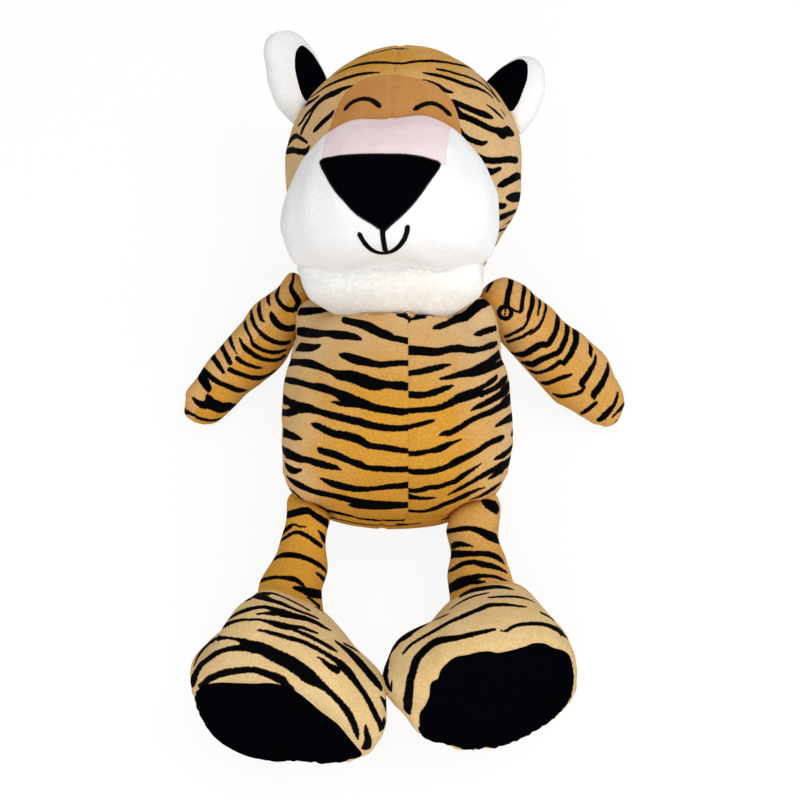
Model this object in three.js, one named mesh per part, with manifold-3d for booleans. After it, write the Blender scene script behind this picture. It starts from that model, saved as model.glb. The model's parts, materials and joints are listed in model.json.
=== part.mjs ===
// Tiger plush pillow: a stuffed toy lying on its back, sewn from pile-fabric panels over fibre filling.
// Units are millimetres. +X is the toy's left, +Y runs towards its head and +Z is up, out of its belly.
// The origin is in the flat patch that its back rests on.
import * as THREE from "three";
import { mergeVertices } from "three/addons/utils/BufferGeometryUtils.js";
import Module from "manifold-3d";

const wasm = await Module();
wasm.setup();

// Fabric, seams and clearances
const coverThickness = 3;
const seamGap = 0.3;
const jointClearance = 0.9;
const restFlat = 0.5;

// Torso: a seam down its front and one down its back, a little off centre, and one along each side
const frontSeam = 9;
const backSeam = -9;
const sideSeamHeight = 62;
const torsoRows = [
  [-105, 0, 0, 66, 66],
  [-101, 0, 45, 42, 92],
  [-90, 0, 72, 20, 118],
  [-70, 0, 90, 5, 138],
  [-42, 0, 96, -1.7, 148],
  [-12, 0, 95.5, -1.7, 149],
  [18, 0, 90, -1.6, 143],
  [46, 0, 83, 2.5, 128],
  [70, 0, 78, 9, 110],
  [90, 0, 75, 19, 97],
  [103, 0, 60, 34, 80],
  [109, 0, 0, 56, 56],
];

// Head: it tips about a line across its middle, and lies tilted forwards and a little to its right
const neckPivot = { x: 9, y: 190 };
const headPitch = 22;
const headYaw = -7.5;
const skullRows = [
  [-107, 0, 0, 0, 0],
  [-101, 0, 35, -35, 36],
  [-85, 0, 59, -63, 65],
  [-62, 0, 77, -82, 85],
  [-34, 0, 91, -93, 96],
  [-4, 0, 100, -95, 98],
  [26, 0, 102, -94, 94],
  [54, 0, 95, -86, 85],
  [79, 0, 80, -73, 71],
  [100, 0, 59, -54, 51],
  [115, 0, 35, -32, 30],
  [124, 0, 0, 0, 0],
];
const chinRows = [
  [-126, 0, 0, 60, 60],
  [-120, 0, 46, 40, 78],
  [-104, 0, 72, 27, 96],
  [-79, 0, 81, 20, 104],
  [-54, 0, 72, 30, 98],
  [-40, 0, 0, 64, 64],
];

// The hollow above the torso that the head turns in: a wide one for the skull, and one over the chest for the chin
const skullHollow = { radius: 109.4, halfWidth: 108, squareness: 2 };
const chinHollow = { radius: 145, halfWidth: 104, squareness: 4 };
const chinHollowStart = 11;
const muzzleRows = [
  [-93, 0, 0, 86, 86],
  [-88, 0, 56, 48, 117],
  [-74, 0, 79, 28, 136],
  [-52, 0, 87.5, 16, 147],
  [-26, 0, 86, 15, 149],
  [0, 0, 75, 25, 140],
  [22, 0, 57, 42, 123],
  [38, 0, 32, 60, 104],
  [44, 0, 0, 82, 82],
];

// Ears: each stands on the side of the head, its lined face turned forwards and inwards
const earDepth = -6;
const earSeamDepth = 2;
const earRows = [
  [-16, 0, 0, -6, -6],
  [-8, 0, 22, -21, 8],
  [10, 0, 34, -28, 10],
  [32, 0, 36, -29, 9],
  [54, 0, 30, -25, 6],
  [70, 0, 18, -17, 2],
  [78, 0, 0, -7, -7],
];

// Face: places and sizes seen from the front, in the head's own frame
const browAt = { x: 3, y: 30 };
const browSize = { x: 54, y: 48 };
const bridgeHalf = 49;
const bridgeBottom = -9;
const noseHalf = 47;
const noseTop = -8;
const noseTip = -65;
const noseThickness = 1.5;
const mouthBottom = -84;
const mouthHalf = 19;
const eyeAt = { x: 29, y: 54 };
const eyeHalf = 15;
const eyeRise = 8;
const embroideryWidth = 4;
const embroideryThickness = 1.2;

// Arms: a row's first number counts from the shoulder, negative towards the hand
const armDroop = 22.7;
const armRootRadius = 24;
const armRows = [
  [24, 0, 0, 0, 0],
  [17, 0, 16.9, -16.9, 16.9],
  [0, 0, 24, -24, 24],
  [-24, 0, 22.5, -21, 22],
  [-58, 0, 24, -21, 23],
  [-90, 0, 25, -22, 23],
  [-112, 0, 22.5, -20, 21],
  [-126, 0, 13, -12, 12],
  [-131, 0, 0, 0, 0],
];

// Legs: a round root in the hip, and a round end that the foot turns on
const hipHeight = 52;
const hipRadius = 23;
const ankleRadius = 28;
const legLength = 66;
const legRows = [
  [23, 0, 0, 0, 0],
  [16, 0, 16.5, -16.5, 16.5],
  [0, 0, 23, -23, 23],
  [-22, 0, 21, -21, 21],
  [-43, 0, 24, -24, 24],
  [-66, 0, 28, -28, 28],
  [-85, 0, 20.6, -20.6, 20.6],
  [-94, 0, 0, 0, 0],
];

// Feet: a bell that opens from the ankle to a wide sole, which faces forwards and a little up
const footLean = -12;
const footTop = -3;
const soleSeam = -91;
const footRows = [
  [22, 0, 0, 0, 0],
  [14, 0, 27, -27, 27],
  [-3, 2, 34, -33, 34],
  [-22, 8, 49, -44, 49],
  [-44, 16, 67, -58, 64],
  [-66, 23, 78, -67, 71],
  [-82, 28, 79, -68, 69],
  [-95, 32, 65, -56, 57],
  [-103, 32, 0, 0, 0],
];

// The toy lies unevenly: where each side's joints are, and how far its pieces turn out from the midline
const left = { name: "left", side: 1 };
const right = { name: "right", side: -1 };
Object.assign(left, { shoulderX: 92.5, shoulderY: 98, armSpread: 47 });
Object.assign(right, { shoulderX: 89.5, shoulderY: 98, armSpread: 45.5 });
Object.assign(left, { earX: 63, earY: 52, earLean: 34, earTurn: 38 });
Object.assign(right, { earX: 77, earY: 73, earLean: 16, earTurn: 60 });
Object.assign(left, { hipX: 63.5, hipY: -104.5, legSpread: 6, footSpread: 16, footInset: -0.8 });
Object.assign(right, { hipX: 66, hipY: -108, legSpread: 12, footSpread: 20, footInset: 1 });
const sides = [left, right];

const stripedFabric = { color: 0xd9a253, roughness: 0.9 };
const footFabric = { color: 0xe3c08c, roughness: 0.9 };
const browFabric = { color: 0xc98f52, roughness: 0.9 };
const whitePlush = { color: 0xf3f3f3, roughness: 0.95 };
const creamPlush = { color: 0xf1eee6, roughness: 0.95 };
const pinkPlush = { color: 0xeddadc, roughness: 0.95 };
const blackPlush = { color: 0x050506, roughness: 0.85 };
const blackThread = { color: 0x0a0a0a, roughness: 0.6 };
const fibreFilling = { color: 0xf0f0ee, roughness: 1 };

// How finely the outer face of each form is divided around its length
const torsoFaces = { points: 18, innerPoints: 9 };
const skullFaces = { points: 20, innerPoints: 10 };
const chinFaces = { points: 16, innerPoints: 8 };
const muzzleFaces = { points: 16, innerPoints: 8 };
const earFaces = { points: 12, innerPoints: 6 };
const limbFaces = { points: 12, innerPoints: 6 };
const footFaces = { points: 16, innerPoints: 8 };

const radians = THREE.MathUtils.degToRad;
const reach = 600;

// A stuffed shape: oval rings at rows of [along Y, centre across, half width, back, front].
// Its first and last rows have no width, and close it.
function stuffedForm(rows, { points, grow = 0, mirror = 1 }) {
  const last = rows.length - 1;
  const sections = rows.slice(1, last);
  const onwards = Math.sign(rows[last][0] - rows[0][0]);
  const pole = ([along, across, , back], out) => [across * mirror, along + out * onwards * grow, back];
  const positions = [...pole(rows[0], -1)];
  for (const [along, across, halfWidth, back, front] of sections)
    for (let point = 0; point < points; point++) {
      const angle = (2 * Math.PI * point) / points;
      positions.push(
        across * mirror + (halfWidth + grow) * Math.cos(angle),
        along,
        (front + back) / 2 + ((front - back) / 2 + grow) * Math.sin(angle),
      );
    }
  positions.push(...pole(rows[last], 1));
  const end = 1 + sections.length * points;
  const index = [];
  for (let point = 0; point < points; point++) {
    const next = (point + 1) % points;
    index.push(0, 1 + point, 1 + next, end, end - points + next, end - points + point);
    for (let start = 1; start < end - points; start += points) {
      index.push(start + point, start + points + point, start + next);
      index.push(start + next, start + points + point, start + points + next);
    }
  }
  if (onwards < 0) index.reverse();
  const geometry = new THREE.BufferGeometry();
  geometry.setAttribute("position", new THREE.Float32BufferAttribute(positions, 3));
  geometry.setIndex(index);
  return geometry;
}

function solidOf(geometry) {
  const bare = geometry.clone();
  bare.deleteAttribute("normal");
  bare.deleteAttribute("uv");
  const merged = mergeVertices(bare);
  return new wasm.Manifold(
    new wasm.Mesh({
      numProp: 3,
      vertProperties: merged.attributes.position.array,
      triVerts: new Uint32Array(merged.index.array),
    }),
  );
}

// The largest body of a solid, as a named mesh: a cut can leave loose slivers beside it
function meshOf(name, solid, finish) {
  const largest = solid.decompose().sort((a, b) => b.volume() - a.volume())[0];
  const { vertProperties, triVerts } = largest.getMesh();
  const geometry = new THREE.BufferGeometry();
  geometry.setAttribute("position", new THREE.BufferAttribute(vertProperties, 3));
  geometry.setIndex(new THREE.BufferAttribute(triVerts, 1));
  const mesh = new THREE.Mesh(geometry, new THREE.MeshStandardMaterial({ metalness: 0, ...finish }));
  mesh.name = name;
  return mesh;
}

// Everything on one side of a plane square to an axis
function halfSpace(axis, side, start) {
  const shift = { x: 0, y: 0, z: 0, [axis]: start + side * reach };
  return solidOf(new THREE.BoxGeometry(2 * reach, 2 * reach, 2 * reach).translate(shift.x, shift.y, shift.z));
}

// The two panels that meet in a seam where a plane cuts a cover
function panels(cover, axis, seam) {
  const half = seamGap / 2;
  return [1, -1].map((side) => cover.intersect(halfSpace(axis, side, seam + side * half)));
}

// A flat outline pushed through the face from the front, starting at the given depth
function punch(shape, start) {
  const settings = { depth: reach, bevelEnabled: false, curveSegments: 6 };
  return solidOf(new THREE.ExtrudeGeometry(shape, settings).translate(0, 0, start));
}

// The solid of a geometry that belongs to one group, seen from the toy's own frame
function placed(group, geometry) {
  group.updateWorldMatrix(true, false);
  return solidOf(geometry.clone().applyMatrix4(group.matrixWorld));
}

// The ground that the toy lies on, seen from a group's own frame
function groundIn(group) {
  group.updateWorldMatrix(true, false);
  const slab = new THREE.BoxGeometry(4 * reach, 4 * reach, reach).translate(0, 0, -reach / 2);
  return solidOf(slab.applyMatrix4(group.matrixWorld.clone().invert()));
}

// How high a turned form's own origin is when its lowest point is pressed flat on the ground
function restingHeight(geometry, rotation) {
  const turned = geometry.clone().applyMatrix4(new THREE.Matrix4().makeRotationFromEuler(rotation));
  turned.computeBoundingBox();
  return -turned.boundingBox.min.z - restFlat;
}

// The groups that carry the head and limbs stand at the joints
function placeHead() {
  const head = new THREE.Group();
  head.rotation.set(radians(headPitch), radians(headYaw), 0, "ZXY");
  head.position.set(neckPivot.x, neckPivot.y, restingHeight(stuffedForm(skullRows, skullFaces), head.rotation));
  return head;
}

function placeArm({ side, shoulderX, shoulderY, armSpread }) {
  const arm = new THREE.Group();
  arm.rotation.set(radians(armDroop), 0, side * radians(armSpread), "ZXY");
  arm.position.set(side * shoulderX, shoulderY, restingHeight(stuffedForm(armRows, limbFaces), arm.rotation));
  return arm;
}

// The leg slopes from the hip to the height at which its foot rests on the ground.
// The foot's turn and lean are set in the toy's frame, so the leg's own turn is taken out of them.
function placeLeg({ side, hipX, hipY, legSpread, footSpread, footInset }) {
  const [leg, foot] = [new THREE.Group(), new THREE.Group()];
  const footRotation = new THREE.Euler(radians(footLean), 0, side * radians(footSpread), "ZXY");
  const ankleHeight = restingHeight(stuffedForm(footRows, { ...footFaces, mirror: footInset }), footRotation);
  const slope = Math.asin((hipHeight - ankleHeight) / legLength);
  leg.rotation.set(slope, 0, side * radians(legSpread), "ZXY");
  leg.position.set(side * hipX, hipY, hipHeight);
  foot.quaternion.setFromEuler(footRotation).premultiply(leg.quaternion.clone().invert());
  foot.position.set(0, -legLength, 0);
  leg.add(foot);
  return { leg, foot };
}

// A stuffed piece: the solid inside its outer face, that inside its cover, and its filling
function layersOf(rows, { points, innerPoints, mirror = 1 }) {
  const inside = { points: innerPoints, mirror };
  return {
    outer: solidOf(stuffedForm(rows, { points, mirror })),
    inner: solidOf(stuffedForm(rows, { ...inside, grow: -coverThickness })),
    filling: solidOf(stuffedForm(rows, { ...inside, grow: -coverThickness - seamGap })),
  };
}

// A barrel turned about the head's own X axis: everything that stays inside it clears the torso as the head tips
function barrel({ radius, halfWidth, squareness }) {
  const profile = [];
  const steps = 10;
  for (let step = 0; step <= steps; step++) {
    const angle = Math.PI * (step / steps - 0.5);
    const round = (value) => Math.sign(value) * Math.abs(value) ** (2 / squareness);
    profile.push(new THREE.Vector2(radius * round(Math.cos(angle)), halfWidth * round(Math.sin(angle))));
  }
  profile[0].x = 0;
  profile[steps].x = 0;
  return new THREE.LatheGeometry(profile, 24).rotateZ(Math.PI / 2);
}

// The hollow that a limb's round end turns in
function socket(radius) {
  return new THREE.SphereGeometry(radius + jointClearance, 16, 12);
}

function addTorso(head, limbs) {
  const body = layersOf(torsoRows, torsoFaces);
  const aboveChest = new THREE.BoxGeometry(2 * reach, 2 * reach, 2 * reach)
    .translate(0, 0, reach)
    .rotateX(radians(chinHollowStart - headPitch));
  const chinRoom = placed(head, barrel(chinHollow)).intersect(placed(head, aboveChest));
  let rooms = groundIn(toy).add(placed(head, barrel(skullHollow))).add(chinRoom);
  for (const { arm, leg } of limbs)
    rooms = rooms
      .add(placed(arm, socket(armRootRadius)))
      .add(placed(leg, socket(hipRadius)));
  const cover = body.outer.subtract(body.inner).subtract(rooms);
  const [front, back] = panels(cover, "z", sideSeamHeight);
  const [frontLeft, frontRight] = panels(front, "x", frontSeam);
  const [backLeft, backRight] = panels(back, "x", backSeam);
  toy.add(
    meshOf("torso_front_left_panel", frontLeft, stripedFabric),
    meshOf("torso_front_right_panel", frontRight, stripedFabric),
    meshOf("torso_back_left_panel", backLeft, stripedFabric),
    meshOf("torso_back_right_panel", backRight, stripedFabric),
    meshOf("torso_filling", body.filling.subtract(rooms), fibreFilling),
  );
}

// The brow is an arch of darker fabric between the muzzle and the crown
function browShape(gap) {
  const [wide, high] = [browSize.x + gap, browSize.y + gap];
  const shape = new THREE.Shape();
  shape.moveTo(browAt.x - wide, 0);
  shape.lineTo(browAt.x + wide, 0);
  shape.lineTo(browAt.x + wide, browAt.y);
  shape.absellipse(browAt.x, browAt.y, wide, high, 0, Math.PI);
  shape.closePath();
  return shape;
}

function noseShape() {
  const corner = noseTop - 5;
  const side = (corner + noseTip) / 2 - 4;
  const shape = new THREE.Shape();
  shape.moveTo(-noseHalf, corner);
  shape.quadraticCurveTo(-noseHalf * 0.66, side, 0, noseTip);
  shape.quadraticCurveTo(noseHalf * 0.66, side, noseHalf, corner);
  shape.quadraticCurveTo(0, noseTop + 5, -noseHalf, corner);
  return shape;
}

// The mouth is a stitched arc with a short line up to the nose
function mouthShape() {
  const half = embroideryWidth / 2;
  const centre = mouthBottom + mouthHalf;
  const inner = mouthHalf - half;
  const join = Math.asin(half / inner);
  const shape = new THREE.Shape();
  shape.moveTo(half, noseTip - seamGap);
  shape.lineTo(-half, noseTip - seamGap);
  shape.absarc(0, centre, inner, -Math.PI / 2 - join, -Math.PI, true);
  shape.absarc(0, centre, mouthHalf + half, -Math.PI, 0, false);
  shape.absarc(0, centre, inner, 0, -Math.PI / 2 + join, true);
  shape.closePath();
  return shape;
}

// A closed, smiling eye: one stitched arc
function eyeShape(side) {
  const radius = (eyeHalf ** 2 + eyeRise ** 2) / (2 * eyeRise);
  const spread = Math.asin(eyeHalf / radius);
  const centre = [browAt.x + side * eyeAt.x, eyeAt.y - radius];
  const [from, to] = [Math.PI / 2 - spread, Math.PI / 2 + spread];
  const shape = new THREE.Shape();
  shape.absarc(...centre, radius + embroideryWidth / 2, from, to, false);
  shape.absarc(...centre, radius - embroideryWidth / 2, to, from, true);
  shape.closePath();
  return shape;
}

const muzzleMiddle = muzzleRows[0][3];

// A thin piece lying on a form, cut to a flat outline seen from the front
function layOn(rows, faces, start, thickness, shape) {
  const under = solidOf(stuffedForm(rows, { ...faces, grow: seamGap }));
  const over = solidOf(stuffedForm(rows, { ...faces, grow: seamGap + thickness }));
  return over.subtract(under).intersect(punch(shape, start));
}

function addHead(head) {
  const skull = layersOf(skullRows, skullFaces);
  const chin = layersOf(chinRows, chinFaces);
  const muzzle = layersOf(muzzleRows, muzzleFaces);
  const muzzleRoom = solidOf(stuffedForm(muzzleRows, { ...muzzleFaces, grow: seamGap }));
  const chinRoom = solidOf(stuffedForm(chinRows, { ...chinFaces, grow: seamGap }));
  const withinCover = { points: skullFaces.innerPoints, grow: seamGap - coverThickness };
  const skullRoom = solidOf(stuffedForm(skullRows, withinCover));
  const ground = groundIn(head);

  const hollow = skull.inner.add(chin.inner);
  const skin = skull.outer.subtract(hollow).subtract(muzzleRoom).subtract(ground).subtract(chinRoom);
  const [leftSkin, rightSkin] = panels(skin.subtract(punch(browShape(seamGap), 0)), "x", 0);
  head.add(
    meshOf("head_left_panel", leftSkin, stripedFabric),
    meshOf("head_right_panel", rightSkin, stripedFabric),
    meshOf("brow_patch", skin.intersect(punch(browShape(0), 0)), browFabric),
    meshOf("chin_panel", chin.outer.subtract(hollow).subtract(muzzleRoom), creamPlush),
  );

  const bridge = (gap) =>
    halfSpace("y", 1, bridgeBottom - gap)
      .intersect(halfSpace("x", 1, -bridgeHalf - gap))
      .intersect(halfSpace("x", -1, bridgeHalf + gap));
  const snout = muzzle.outer.subtract(muzzle.inner).subtract(skullRoom);
  const front = halfSpace("z", 1, muzzleMiddle);
  const filling = chin.filling.subtract(muzzleRoom).add(skull.filling).add(muzzle.filling);
  head.add(
    meshOf("muzzle_cover", snout.subtract(bridge(seamGap)), whitePlush),
    meshOf("nose_bridge_panel", snout.intersect(bridge(0)).intersect(front), pinkPlush),
    meshOf("head_filling", filling.subtract(ground), fibreFilling),
    meshOf("nose", layOn(muzzleRows, muzzleFaces, muzzleMiddle, noseThickness, noseShape()), blackPlush),
    meshOf(
      "mouth_embroidery",
      layOn(muzzleRows, muzzleFaces, muzzleMiddle, embroideryThickness, mouthShape()),
      blackThread,
    ),
  );
  for (const { name, side } of sides) {
    const eye = layOn(skullRows, skullFaces, 0, embroideryThickness, eyeShape(side));
    head.add(meshOf(name + "_eye_embroidery", eye, blackThread));
  }
}

// An ear stands on the skull, which cuts its root to shape
function addEar(head, { name, side, earX, earY, earLean, earTurn }) {
  const ear = new THREE.Group();
  ear.position.set(side * earX, earY, earDepth);
  ear.rotation.set(0, -side * radians(earTurn), -side * radians(earLean), "ZYX");
  head.add(ear);
  ear.updateMatrix();
  const skull = stuffedForm(skullRows, { ...skullFaces, grow: seamGap });
  const room = solidOf(skull.applyMatrix4(ear.matrix.clone().invert()));
  const { outer, inner, filling } = layersOf(earRows, earFaces);
  const [front, back] = panels(outer.subtract(inner).subtract(room), "z", earSeamDepth);
  ear.add(
    meshOf(name + "_ear_lining", front, blackPlush),
    meshOf(name + "_ear_back", back, whitePlush),
    meshOf(name + "_ear_filling", filling.subtract(room), fibreFilling),
  );
}

// Each arm is two panels with a seam along its front and back
function addArm(arm, { name, side }) {
  const { outer, inner, filling } = layersOf(armRows, limbFaces);
  const ground = groundIn(arm);
  const halves = panels(outer.subtract(inner).subtract(ground), "x", 0);
  const [upper, lower] = side > 0 ? halves : halves.reverse();
  arm.add(
    meshOf(name + "_arm_upper_panel", upper, stripedFabric),
    meshOf(name + "_arm_lower_panel", lower, stripedFabric),
    meshOf(name + "_arm_filling", filling.subtract(ground), fibreFilling),
  );
}

function addLeg(leg, { name }) {
  const { outer, inner, filling } = layersOf(legRows, limbFaces);
  const opening = halfSpace("y", 1, legRows[1][0]);
  leg.add(
    meshOf(name + "_leg_cover", outer.subtract(inner).subtract(opening), stripedFabric),
    meshOf(name + "_leg_filling", filling.subtract(opening), fibreFilling),
  );
}

function addFoot(foot, { name, footInset }) {
  const { outer, inner, filling } = layersOf(footRows, { ...footFaces, mirror: footInset });
  const away = groundIn(foot)
    .add(solidOf(socket(ankleRadius)))
    .add(halfSpace("y", 1, footTop));
  const [upper, sole] = panels(outer.subtract(inner).subtract(away), "y", soleSeam);
  foot.add(
    meshOf(name + "_foot_upper", upper, footFabric),
    meshOf(name + "_foot_sole", sole, blackPlush),
    meshOf(name + "_foot_filling", filling.subtract(away), fibreFilling),
  );
}

const toy = new THREE.Group();
const head = placeHead();
const limbs = sides.map((each) => ({ arm: placeArm(each), ...placeLeg(each) }));
toy.add(head, ...limbs.flatMap(({ arm, leg }) => [arm, leg]));
addTorso(head, limbs);
addHead(head);
sides.forEach((each, which) => {
  const { arm, leg, foot } = limbs[which];
  addEar(head, each);
  addArm(arm, each);
  addLeg(leg, each);
  addFoot(foot, each);
});

export default toy;
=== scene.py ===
# Tiger plush pillow: a stuffed toy lying on its back, photographed from above its feet
import json
import math
import random

import bmesh
import bpy
import numpy as np
from mathutils import Matrix, Vector, kdtree
from mathutils.bvhtree import BVHTree


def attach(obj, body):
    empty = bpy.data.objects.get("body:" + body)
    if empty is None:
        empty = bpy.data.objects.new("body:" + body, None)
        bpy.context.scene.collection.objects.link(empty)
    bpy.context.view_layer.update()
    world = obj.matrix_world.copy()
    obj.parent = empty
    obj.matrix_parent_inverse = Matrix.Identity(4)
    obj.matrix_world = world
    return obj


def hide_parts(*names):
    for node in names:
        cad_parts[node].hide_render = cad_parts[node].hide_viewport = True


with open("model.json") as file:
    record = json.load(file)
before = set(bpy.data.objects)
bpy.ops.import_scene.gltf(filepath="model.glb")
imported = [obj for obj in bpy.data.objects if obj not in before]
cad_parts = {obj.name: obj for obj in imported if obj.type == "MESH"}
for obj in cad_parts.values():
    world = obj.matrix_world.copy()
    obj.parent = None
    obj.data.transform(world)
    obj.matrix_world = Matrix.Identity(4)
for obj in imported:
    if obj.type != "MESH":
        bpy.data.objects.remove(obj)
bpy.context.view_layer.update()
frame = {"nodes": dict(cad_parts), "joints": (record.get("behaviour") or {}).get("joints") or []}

mm = 0.001
dice = random.Random(7)


# small helpers
def srgb(red, green, blue):
    def flat(level):
        level /= 255
        return ((level + 0.055) / 1.055) ** 2.4 if level > 0.04045 else level / 12.92

    return (flat(red), flat(green), flat(blue), 1)


def only(piece):
    for each in list(bpy.context.selected_objects):
        each.select_set(False)
    bpy.context.view_layer.objects.active = piece
    piece.select_set(True)


def newPiece(name, mesh):
    piece = bpy.data.objects.new(name, mesh)
    bpy.context.scene.collection.objects.link(piece)
    return piece


def finished(piece, kind, **settings):  # adds a modifier and applies it at once
    modifier = piece.modifiers.new(kind.title(), kind)
    for key, value in settings.items():
        setattr(modifier, key, value)
    only(piece)
    bpy.ops.object.modifier_apply(modifier=modifier.name)
    return piece


def placesOf(mesh):
    places = np.empty(len(mesh.vertices) * 3)
    mesh.vertices.foreach_get("co", places)
    return places.reshape(-1, 3)


def setPlaces(mesh, places):
    mesh.vertices.foreach_set("co", np.ascontiguousarray(places).ravel())
    mesh.update()


def normalsOf(mesh):
    normals = np.empty(len(mesh.vertices) * 3)
    mesh.vertex_normals.foreach_get("vector", normals)
    return normals.reshape(-1, 3)


def ease(value):
    value = np.clip(value, 0, 1)
    return value * value * (3 - 2 * value)


def treeOf(*pieces):
    points, faces = [], []
    for piece in pieces:
        start = len(points)
        points += [v.co.copy() for v in piece.data.vertices]
        faces += [[start + i for i in p.vertices] for p in piece.data.polygons]
    return BVHTree.FromPolygons(points, faces)


# camera, light and floor
view = {
    "place": (0.0051, -0.850, 1.5442),
    "tilt": 30,
    "lens": 95,
    "sensor": 36,
    "focal": 2111.1,  # in pixels of the photograph, which is 800 wide
    "middle": 400,
}
cameraData = bpy.data.cameras.new("camera")
cameraData.lens = view["lens"]
cameraData.sensor_width = view["sensor"]
cameraData.clip_end = 50
camera = bpy.data.objects.new("camera", cameraData)
camera.location = view["place"]
camera.rotation_euler = (math.radians(view["tilt"]), 0, 0)
bpy.context.scene.collection.objects.link(camera)
bpy.context.scene.camera = camera
bpy.context.scene.view_settings.view_transform = "Standard"
eye = Vector(view["place"])
eyeTurn = Matrix.Rotation(math.radians(view["tilt"]), 3, "X")


def towards(px, py):  # the line of sight through a pixel
    across = (px - view["middle"]) / view["focal"]
    up = (view["middle"] - py) / view["focal"]
    return (eyeTurn @ Vector((across, up, -1))).normalized()


lamps = {
    "key": {"place": (0.9, 0.2, 1.85), "size": 1.3, "power": 15},
    "fill": {"place": (-1.0, -0.5, 1.6), "size": 1.5, "power": 3.5},
    "front": {"place": (0.1, -1.5, 1.0), "size": 1.2, "power": 13},
}
for name, lamp in lamps.items():
    data = bpy.data.lights.new(name, "AREA")
    data.size = lamp["size"]
    data.energy = lamp["power"]
    light = bpy.data.objects.new(name, data)
    light.location = lamp["place"]
    gaze = Vector((0, 0, 0.05)) - light.location
    light.rotation_euler = gaze.to_track_quat("-Z", "Y").to_euler()
    bpy.context.scene.collection.objects.link(light)

world = bpy.data.worlds.new("studio")
world.use_nodes = True
world.node_tree.nodes["Background"].inputs[0].default_value = (1, 1, 1, 1)
world.node_tree.nodes["Background"].inputs[1].default_value = 0.48
bpy.context.scene.world = world


def wire(tree, pairs):
    for source, target in pairs:
        tree.links.new(source, target)


floorLook = {"size": 40, "drop": 0.0002, "grey": 0.9, "rough": 0.9, "glow": 1.03, "glowShare": 0.86}


def floorMaterial():
    material = bpy.data.materials.new("white_floor")
    material.use_nodes = True
    tree = material.node_tree
    shader = tree.nodes["Principled BSDF"]
    shader.inputs["Base Color"].default_value = (floorLook["grey"],) * 3 + (1,)
    shader.inputs["Roughness"].default_value = floorLook["rough"]
    glow = tree.nodes.new("ShaderNodeEmission")
    glow.inputs["Color"].default_value = (1, 1, 1, 1)
    glow.inputs["Strength"].default_value = floorLook["glow"]
    path = tree.nodes.new("ShaderNodeLightPath")
    seen = tree.nodes.new("ShaderNodeMath")
    seen.operation = "MAXIMUM"
    alsoSeen = tree.nodes.new("ShaderNodeMath")
    alsoSeen.operation = "MAXIMUM"
    share = tree.nodes.new("ShaderNodeMath")
    share.operation = "MULTIPLY"
    share.inputs[1].default_value = floorLook["glowShare"]
    mix = tree.nodes.new("ShaderNodeMixShader")
    wire(tree, [
        (path.outputs["Is Camera Ray"], seen.inputs[0]),
        (path.outputs["Is Glossy Ray"], seen.inputs[1]),
        (seen.outputs[0], alsoSeen.inputs[0]),
        (path.outputs["Is Transmission Ray"], alsoSeen.inputs[1]),
        (alsoSeen.outputs[0], share.inputs[0]),
        (share.outputs[0], mix.inputs[0]),
        (shader.outputs[0], mix.inputs[1]),
        (glow.outputs[0], mix.inputs[2]),
        (mix.outputs[0], tree.nodes["Material Output"].inputs[0]),
    ])
    return material


only(next(iter(frame["nodes"].values())))  # the CAD nodes come in selected
bpy.ops.object.select_all(action="DESELECT")
bpy.ops.mesh.primitive_plane_add(size=floorLook["size"], location=(0, 0, 0))
floor = bpy.context.active_object
floor.name = "floor"
bpy.ops.object.transform_apply(location=True, rotation=True, scale=True)
setPlaces(floor.data, placesOf(floor.data) - (0, 0, floorLook["drop"]))
floor.data.materials.append(floorMaterial())
print("camera, light and floor are set")

# where the head, limbs and feet stand
jointAt = {joint["name"]: Vector(joint["pos_m"]) for joint in frame["joints"]}


def turnOf(pitch, yaw, roll):  # in degrees, in the order that the CAD turns its bodies
    return (
        Matrix.Rotation(math.radians(roll), 3, "Z")
        @ Matrix.Rotation(math.radians(pitch), 3, "X")
        @ Matrix.Rotation(math.radians(yaw), 3, "Y")
    )


lie = {
    "head": {"joint": "neck_nod", "pitch": 22, "yaw": -7.5, "roll": 0},
    "left_arm": {"joint": "left_shoulder", "pitch": 22.7, "yaw": 0, "roll": 47},
    "right_arm": {"joint": "right_shoulder", "pitch": 22.7, "yaw": 0, "roll": -45.5},
    "left_foot": {"joint": "left_ankle", "pitch": -12, "yaw": 0, "roll": 16},
    "right_foot": {"joint": "right_ankle", "pitch": -12, "yaw": 0, "roll": -20},
}
origin = {body: jointAt[each["joint"]] for body, each in lie.items()}
turn = {body: turnOf(each["pitch"], each["yaw"], each["roll"]) for body, each in lie.items()}


def inBody(body, places):  # places seen from a body's own frame
    return (places - np.array(origin[body])) @ np.array(turn[body])


def outOf(body, place):
    return turn[body] @ Vector(place) + origin[body]


# stuffed forms: each is grown from its CAD solids
def joined(name, nodes, hull):
    build = bmesh.new()
    for node in nodes:
        build.from_mesh(frame["nodes"][node].data)
    bmesh.ops.remove_doubles(build, verts=build.verts[:], dist=1e-6)
    if hull:
        corners = [v.co.copy() for v in build.verts]
        build.clear()
        for corner in corners:
            build.verts.new(corner)
        found = bmesh.ops.convex_hull(build, input=build.verts[:])
        spare = found["geom_interior"] + found["geom_unused"]
        inside = {v for v in spare if isinstance(v, bmesh.types.BMVert)}
        bmesh.ops.delete(build, geom=list(inside), context="VERTS")
    mesh = bpy.data.meshes.new(name)
    build.to_mesh(mesh)
    build.free()
    return newPiece(name, mesh)


def evening(mesh):  # makes a function that averages values over each vertex's neighbours
    ends = np.empty(len(mesh.edges) * 2, int)
    mesh.edges.foreach_get("vertices", ends)
    first, second = ends.reshape(-1, 2).T
    count = np.bincount(ends, minlength=len(mesh.vertices))

    def evened(values):
        total = np.bincount(first, values[second], len(values))
        total += np.bincount(second, values[first], len(values))
        return total / count

    return evened


bed = 0.0002  # nothing of the toy sinks below this height


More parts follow.
